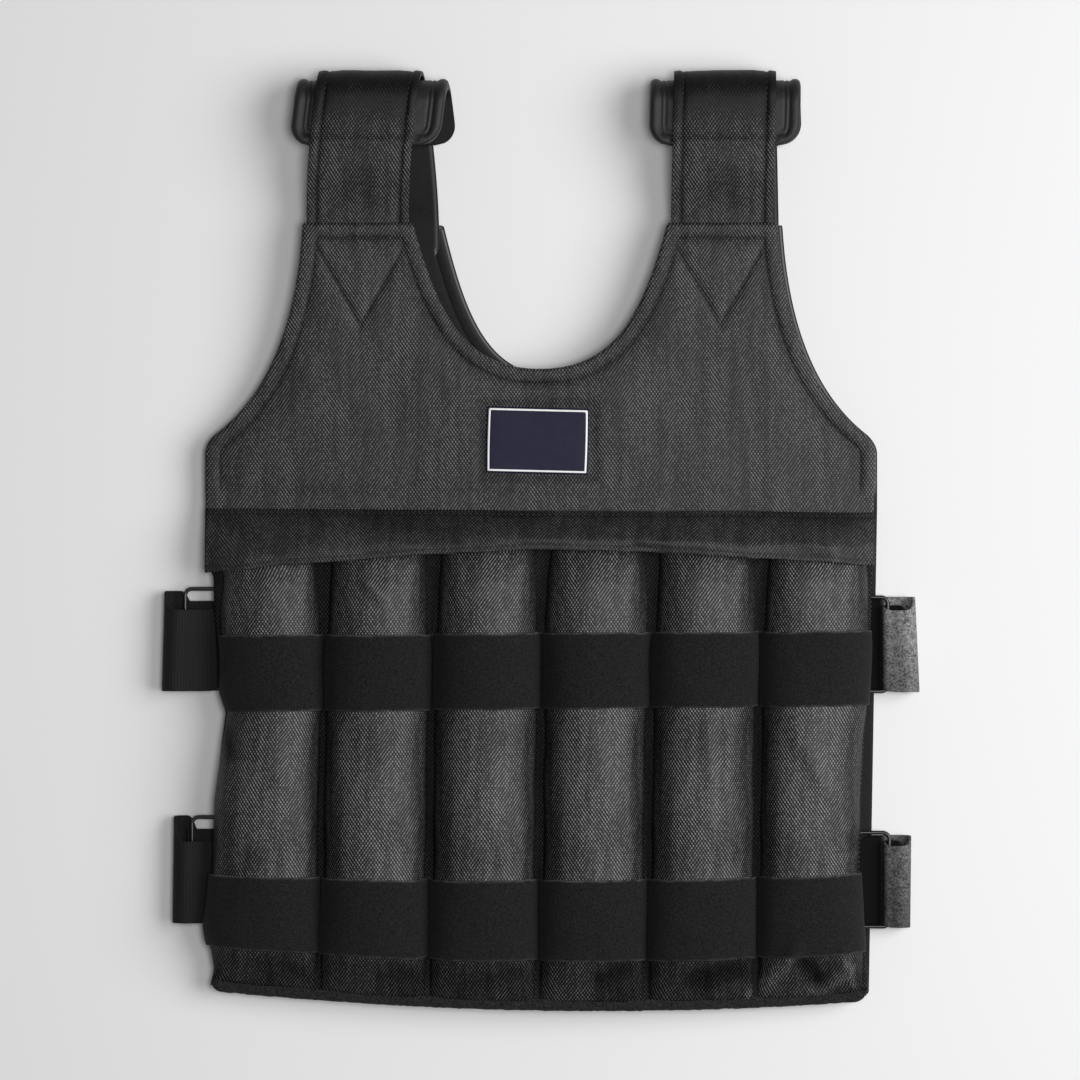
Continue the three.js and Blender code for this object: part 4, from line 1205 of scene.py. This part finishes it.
def add_ring(node_name, side, bar_x, up, long):
    """A wire bent into a rounded rectangle: a circle that goes straight, then turns, four times"""
    straight_y, straight_x = long - 2 * RING_CORNER, RING_DEEP - 2 * RING_CORNER
    ring = bmesh.new()
    start = Matrix.Translation((bar_x, -straight_y / 2, 0))
    bmesh.ops.create_circle(
        ring, segments=12, radius=WIRE_RADIUS, matrix=start @ Matrix.Rotation(math.pi / 2, 4, "X"),
    )
    end = ring.edges[:]
    far_x, near_x = bar_x - RING_CORNER, bar_x - RING_DEEP + RING_CORNER
    for step, centre in (
        ((0, straight_y, 0), (far_x, straight_y / 2, 0)),
        ((-straight_x, 0, 0), (near_x, straight_y / 2, 0)),
        ((0, -straight_y, 0), (near_x, -straight_y / 2, 0)),
        ((straight_x, 0, 0), (far_x, -straight_y / 2, 0)),
    ):
        run = bmesh.ops.extrude_edge_only(ring, edges=end)["geom"]
        verts = [g for g in run if isinstance(g, bmesh.types.BMVert)]
        bmesh.ops.translate(ring, vec=step, verts=verts)
        edges = [g for g in run if isinstance(g, bmesh.types.BMEdge) and set(g.verts) <= set(verts)]
        bend = bmesh.ops.spin(
            ring, geom=verts + edges, cent=centre, axis=(0, 0, 1), angle=math.pi / 2, steps=8,
        )["geom_last"]
        end = [g for g in bend if isinstance(g, bmesh.types.BMEdge)]
    bmesh.ops.remove_doubles(ring, verts=ring.verts, dist=0.01)
    bmesh.ops.scale(ring, vec=(side, 1, 1), verts=ring.verts)
    bmesh.ops.translate(ring, vec=(0, up, RING_Z), verts=ring.verts)
    add_piece(f"wire_{node_name}", [node_name], [wire_metal], ring)


def add_side_strap(row):
    side = row["side"]
    half = WEBBING / 2
    centre = lerp(HEM_Y, FLAP_SEAM_Y, row["level"])
    bar_x = HEM_HALF + LOOP_REACH * row["bar"]
    over_bar = RING_Z + WIRE / 2 + FIT + half
    under_bar = RING_Z - WIRE / 2 - FIT - half
    back_edge = HEM_HALF + CHEST_FLARE / 2 - BACK_NARROW + side * BACK_SHIFT
    anchor_z = BACK + FIT + half
    floor_z = 0.3 + half
    rise = 5.5 * row["bulge"]
    loop_radius = (over_bar + rise - floor_z) / 2
    loop_x = HEM_HALF + LOOP_REACH * row["reach"] - half - loop_radius
    turn_radius = (over_bar - under_bar) / 2
    turn_x = HEM_HALF + LOOP_REACH * row["turn"] + turn_radius + half
    free_end = min(turn_x + 17, loop_x + loop_radius / 2)
    leave = min(back_edge + 1.5, loop_x - 1.5)
    pieces = [
        [
            (back_edge - 26, anchor_z), (leave, anchor_z),
            (lerp(leave, loop_x, 0.5), lerp(anchor_z, floor_z, 0.7)),
        ],
        arc((loop_x, floor_z + loop_radius), loop_radius, -90, 90),
        [
            (lerp(loop_x, turn_x, 0.35), over_bar + rise * 0.65),
            (lerp(loop_x, turn_x, 0.7), over_bar + rise * 0.2),
        ],
        arc((turn_x, RING_Z), turn_radius, 90, 270, 16),
        [(lerp(turn_x, free_end, 0.5), under_bar - FIT), (free_end, under_bar - 2 * FIT)],
    ]
    path = softened(spaced(np.concatenate(pieces), 0.9), 2)
    run = lengths(path)
    # The strap is pushed up the ring where it turns, and lies straight again on its upper run.
    turned = run[path[:, 0].argmax()]
    low_part = run < turned
    slide_from = bar_x - 6 if side < 0 else HEM_HALF - 6
    share_low = np.where(low_part, ease(path[:, 0], slide_from, slide_from + 8), 0)
    loop_top = floor_z + 2 * loop_radius
    share_high = np.where(~low_part, ease(path[:, 1], loop_top, floor_z + loop_radius * 0.8), 0)
    after_turn = ~low_part & (path[:, 1] < RING_Z + 1.2) & (path[:, 0] < loop_x + loop_radius / 2)
    after_turn = softened(after_turn[:, None] * 1.0, 6)[:, 0]
    rising = share_high * (run < turned + 12)
    slide = softened((row["low"] * np.maximum(share_low, rising))[:, None], 4)
    pushed = softened((row["skew"] * after_turn)[:, None], 8)
    shares = mirrored([-1, -0.98, -0.94, -0.88, -0.8, -0.65, -0.45, -0.22])
    across = WEBBING_WIDTH / 2 * shares[None, :] + np.zeros((len(path), 1))
    down = np.broadcast_to(run[:, None], across.shape)
    lift = 0.25 * noise(across, down, 8, 91 + int(row["reach"] * 100))
    upper_run = ease(run, turned - 6, turned)
    outside = (ease(path[:, 0], HEM_HALF + 8, HEM_HALF + 13) * (1 - after_turn))[:, None]
    # Painted shade: the brushed side is darker towards the vest and towards the strap's lower edge,
    # away from the light.
    shade_falloff = 0.55 + 0.45 * ease(across / 50 + (path[:, 0] - HEM_HALF)[:, None] / 30, 0.0, 1.3)
    slid = (ease(path[:, 0], HEM_HALF - 4, HEM_HALF + 2) * low_part)[:, None] * ease(across, 14, 18)
    inner_tone = np.maximum(outside, upper_run[:, None] * (1 - after_turn)[:, None])
    tones = row["pale"] * np.stack([outside * shade_falloff, np.maximum(inner_tone, slid) * shade_falloff])

    def place(a, b, c):
        lean = row["flare"] * ease(a, HEM_HALF + 6, HEM_HALF + 22) * (0.5 - c / WEBBING_WIDTH)
        fanned = slide * np.clip(0.5 + c / WEBBING_WIDTH, 0, 1)
        return np.stack([side * (a + lean), centre + fanned + pushed + c, b], axis=-1)

    slot, material = ("fuzzy_webbing", fleece_webbing) if side > 0 else ("webbing", webbing)
    strap = add_strip(
        f"side_strap_{row['name']}", [material], path, WEBBING, across, place, lift,
        {"tone": tones},
    )

    # The wire ring
    up = centre + row["skew"] + row["slack"] / 2 - RING_GAP
    ring_name = f"ring_{row['name']}"
    add_ring(ring_name, side, bar_x, up, WEBBING_WIDTH + row["slack"] + WIRE)

    # The tab, folded round the ring's inner bar
    turn = WIRE / 2 + FIT + TAB / 2
    inner_x = bar_x - RING_DEEP
    end = inner_x - 24

    def under_panel(x):
        return panel_inside(x, up) - FIT - TAB / 2

    path = np.concatenate([
        [(end, RING_Z - turn)], arc((inner_x, RING_Z), turn, -90, 90, 16),
        [
            (lerp(inner_x, end, 0.35), max(RING_Z + turn, under_panel(inner_x) - 0.2)),
            (lerp(inner_x, end, 0.7), under_panel(lerp(inner_x, end, 0.7))),
            (end, under_panel(end)),
        ],
    ])
    path = spaced(path, 1.0)
    across = WEBBING_WIDTH / 2 * np.linspace(-1, 1, 9)[None, :] + np.zeros((len(path), 1))

    def place_tab(a, b, c):
        return np.stack([side * a, up + c, b], axis=-1)

    tab = add_strip(
        f"ring_tab_{row['name']}", [webbing], path, TAB, across, place_tab,
    )


for row in SIDE_STRAPS:
    add_side_strap(row)


# Stitches
# The topstitching of the front panel, straps and flap, in a thick black thread. Each stitch is a
# short rounded bar that dips into the cloth at its ends.
thread = plain("thread", 0.012, 0.6)
THREAD_RADIUS = 0.3
threads = bmesh.new()
bmesh.ops.create_cone(
    threads, cap_ends=True, segments=5, radius1=THREAD_RADIUS, radius2=THREAD_RADIUS, depth=1,
    matrix=Matrix.Rotation(-math.pi / 2, 4, "Z"),
)
long = [e for e in threads.edges if abs(e.verts[0].co.z - e.verts[1].co.z) > 0.5]
bmesh.ops.subdivide_edges(threads, edges=long, cuts=2)
tips = [v for v in threads.verts if abs(v.co.z) > 0.4]
body = [v for v in threads.verts if abs(v.co.z) < 0.4]
bmesh.ops.scale(threads, vec=(0.35, 0.35, 1), verts=tips)
bmesh.ops.translate(threads, vec=(0, -0.15, 0), verts=tips)
bmesh.ops.scale(threads, vec=(1, 1, 1.8), verts=body)
bmesh.ops.translate(threads, vec=(0, 0.1, 0), verts=body)
pattern = threads.verts[:] + threads.edges[:] + threads.faces[:]
for start, end in stitches:
    along = end - start
    across = along.cross(Vector((0, 0, 1))).normalized()
    place = Matrix((across, across.cross(along).normalized(), along)).transposed().to_4x4()
    place.translation = (start + end) / 2
    made = bmesh.ops.duplicate(threads, geom=pattern)["geom"]
    made = [part for part in made if isinstance(part, bmesh.types.BMVert)]
    bmesh.ops.transform(threads, matrix=place, verts=made)
bmesh.ops.delete(threads, geom=tips + body, context="VERTS")
add_piece("stitches", [], [thread], threads)


# Floor, light and camera
# The vest lies on a plain pale floor, lit by a large soft lamp from the viewer's right and a small
# one overhead, and the camera looks straight down on it. Sizes in this section are in metres.
CAMERA_HEIGHT = 3.0
PICTURE_WIDTH, MEASURED_AT = 0.648, 0.012  # what the picture takes in at that height
SENSOR_WIDTH = 36
bpy.ops.mesh.primitive_plane_add(size=12, location=(0, 0, -0.0002))
floor = bpy.context.object
floor.name = "floor"
floor.data.materials.append(plain("floor", 0.8, 0.9))


def area_light(name, place, size, power, aim=(0, 0, 0)):
    data = bpy.data.lights.new(name, "AREA")
    data.shape = "DISK"
    data.size = size
    data.energy = power
    light = bpy.data.objects.new(name, data)
    bpy.context.collection.objects.link(light)
    light.location = place
    light.rotation_euler = (Vector(aim) - Vector(place)).to_track_quat("-Z", "Y").to_euler()


area_light("key", (1.75, 0.1, 1.65), 2.0, 53)
area_light("top", (0.25, 0.0, 2.7), 0.8, 26.5)
world = bpy.data.worlds.new("studio")
bpy.context.scene.world = world
world.use_nodes = True
world.node_tree.nodes["Background"].inputs["Color"].default_value = (0.98, 0.99, 1, 1)
world.node_tree.nodes["Background"].inputs["Strength"].default_value = 0.12
bpy.context.scene.view_settings.view_transform = "Standard"

camera_data = bpy.data.cameras.new("camera")
camera_data.sensor_width = SENSOR_WIDTH
camera_data.lens = SENSOR_WIDTH * (CAMERA_HEIGHT - MEASURED_AT) / PICTURE_WIDTH
camera = bpy.data.objects.new("camera", camera_data)
bpy.context.collection.objects.link(camera)
camera.location = (0, 0.0006, CAMERA_HEIGHT)
camera_data.clip_end = 20
bpy.context.scene.camera = camera
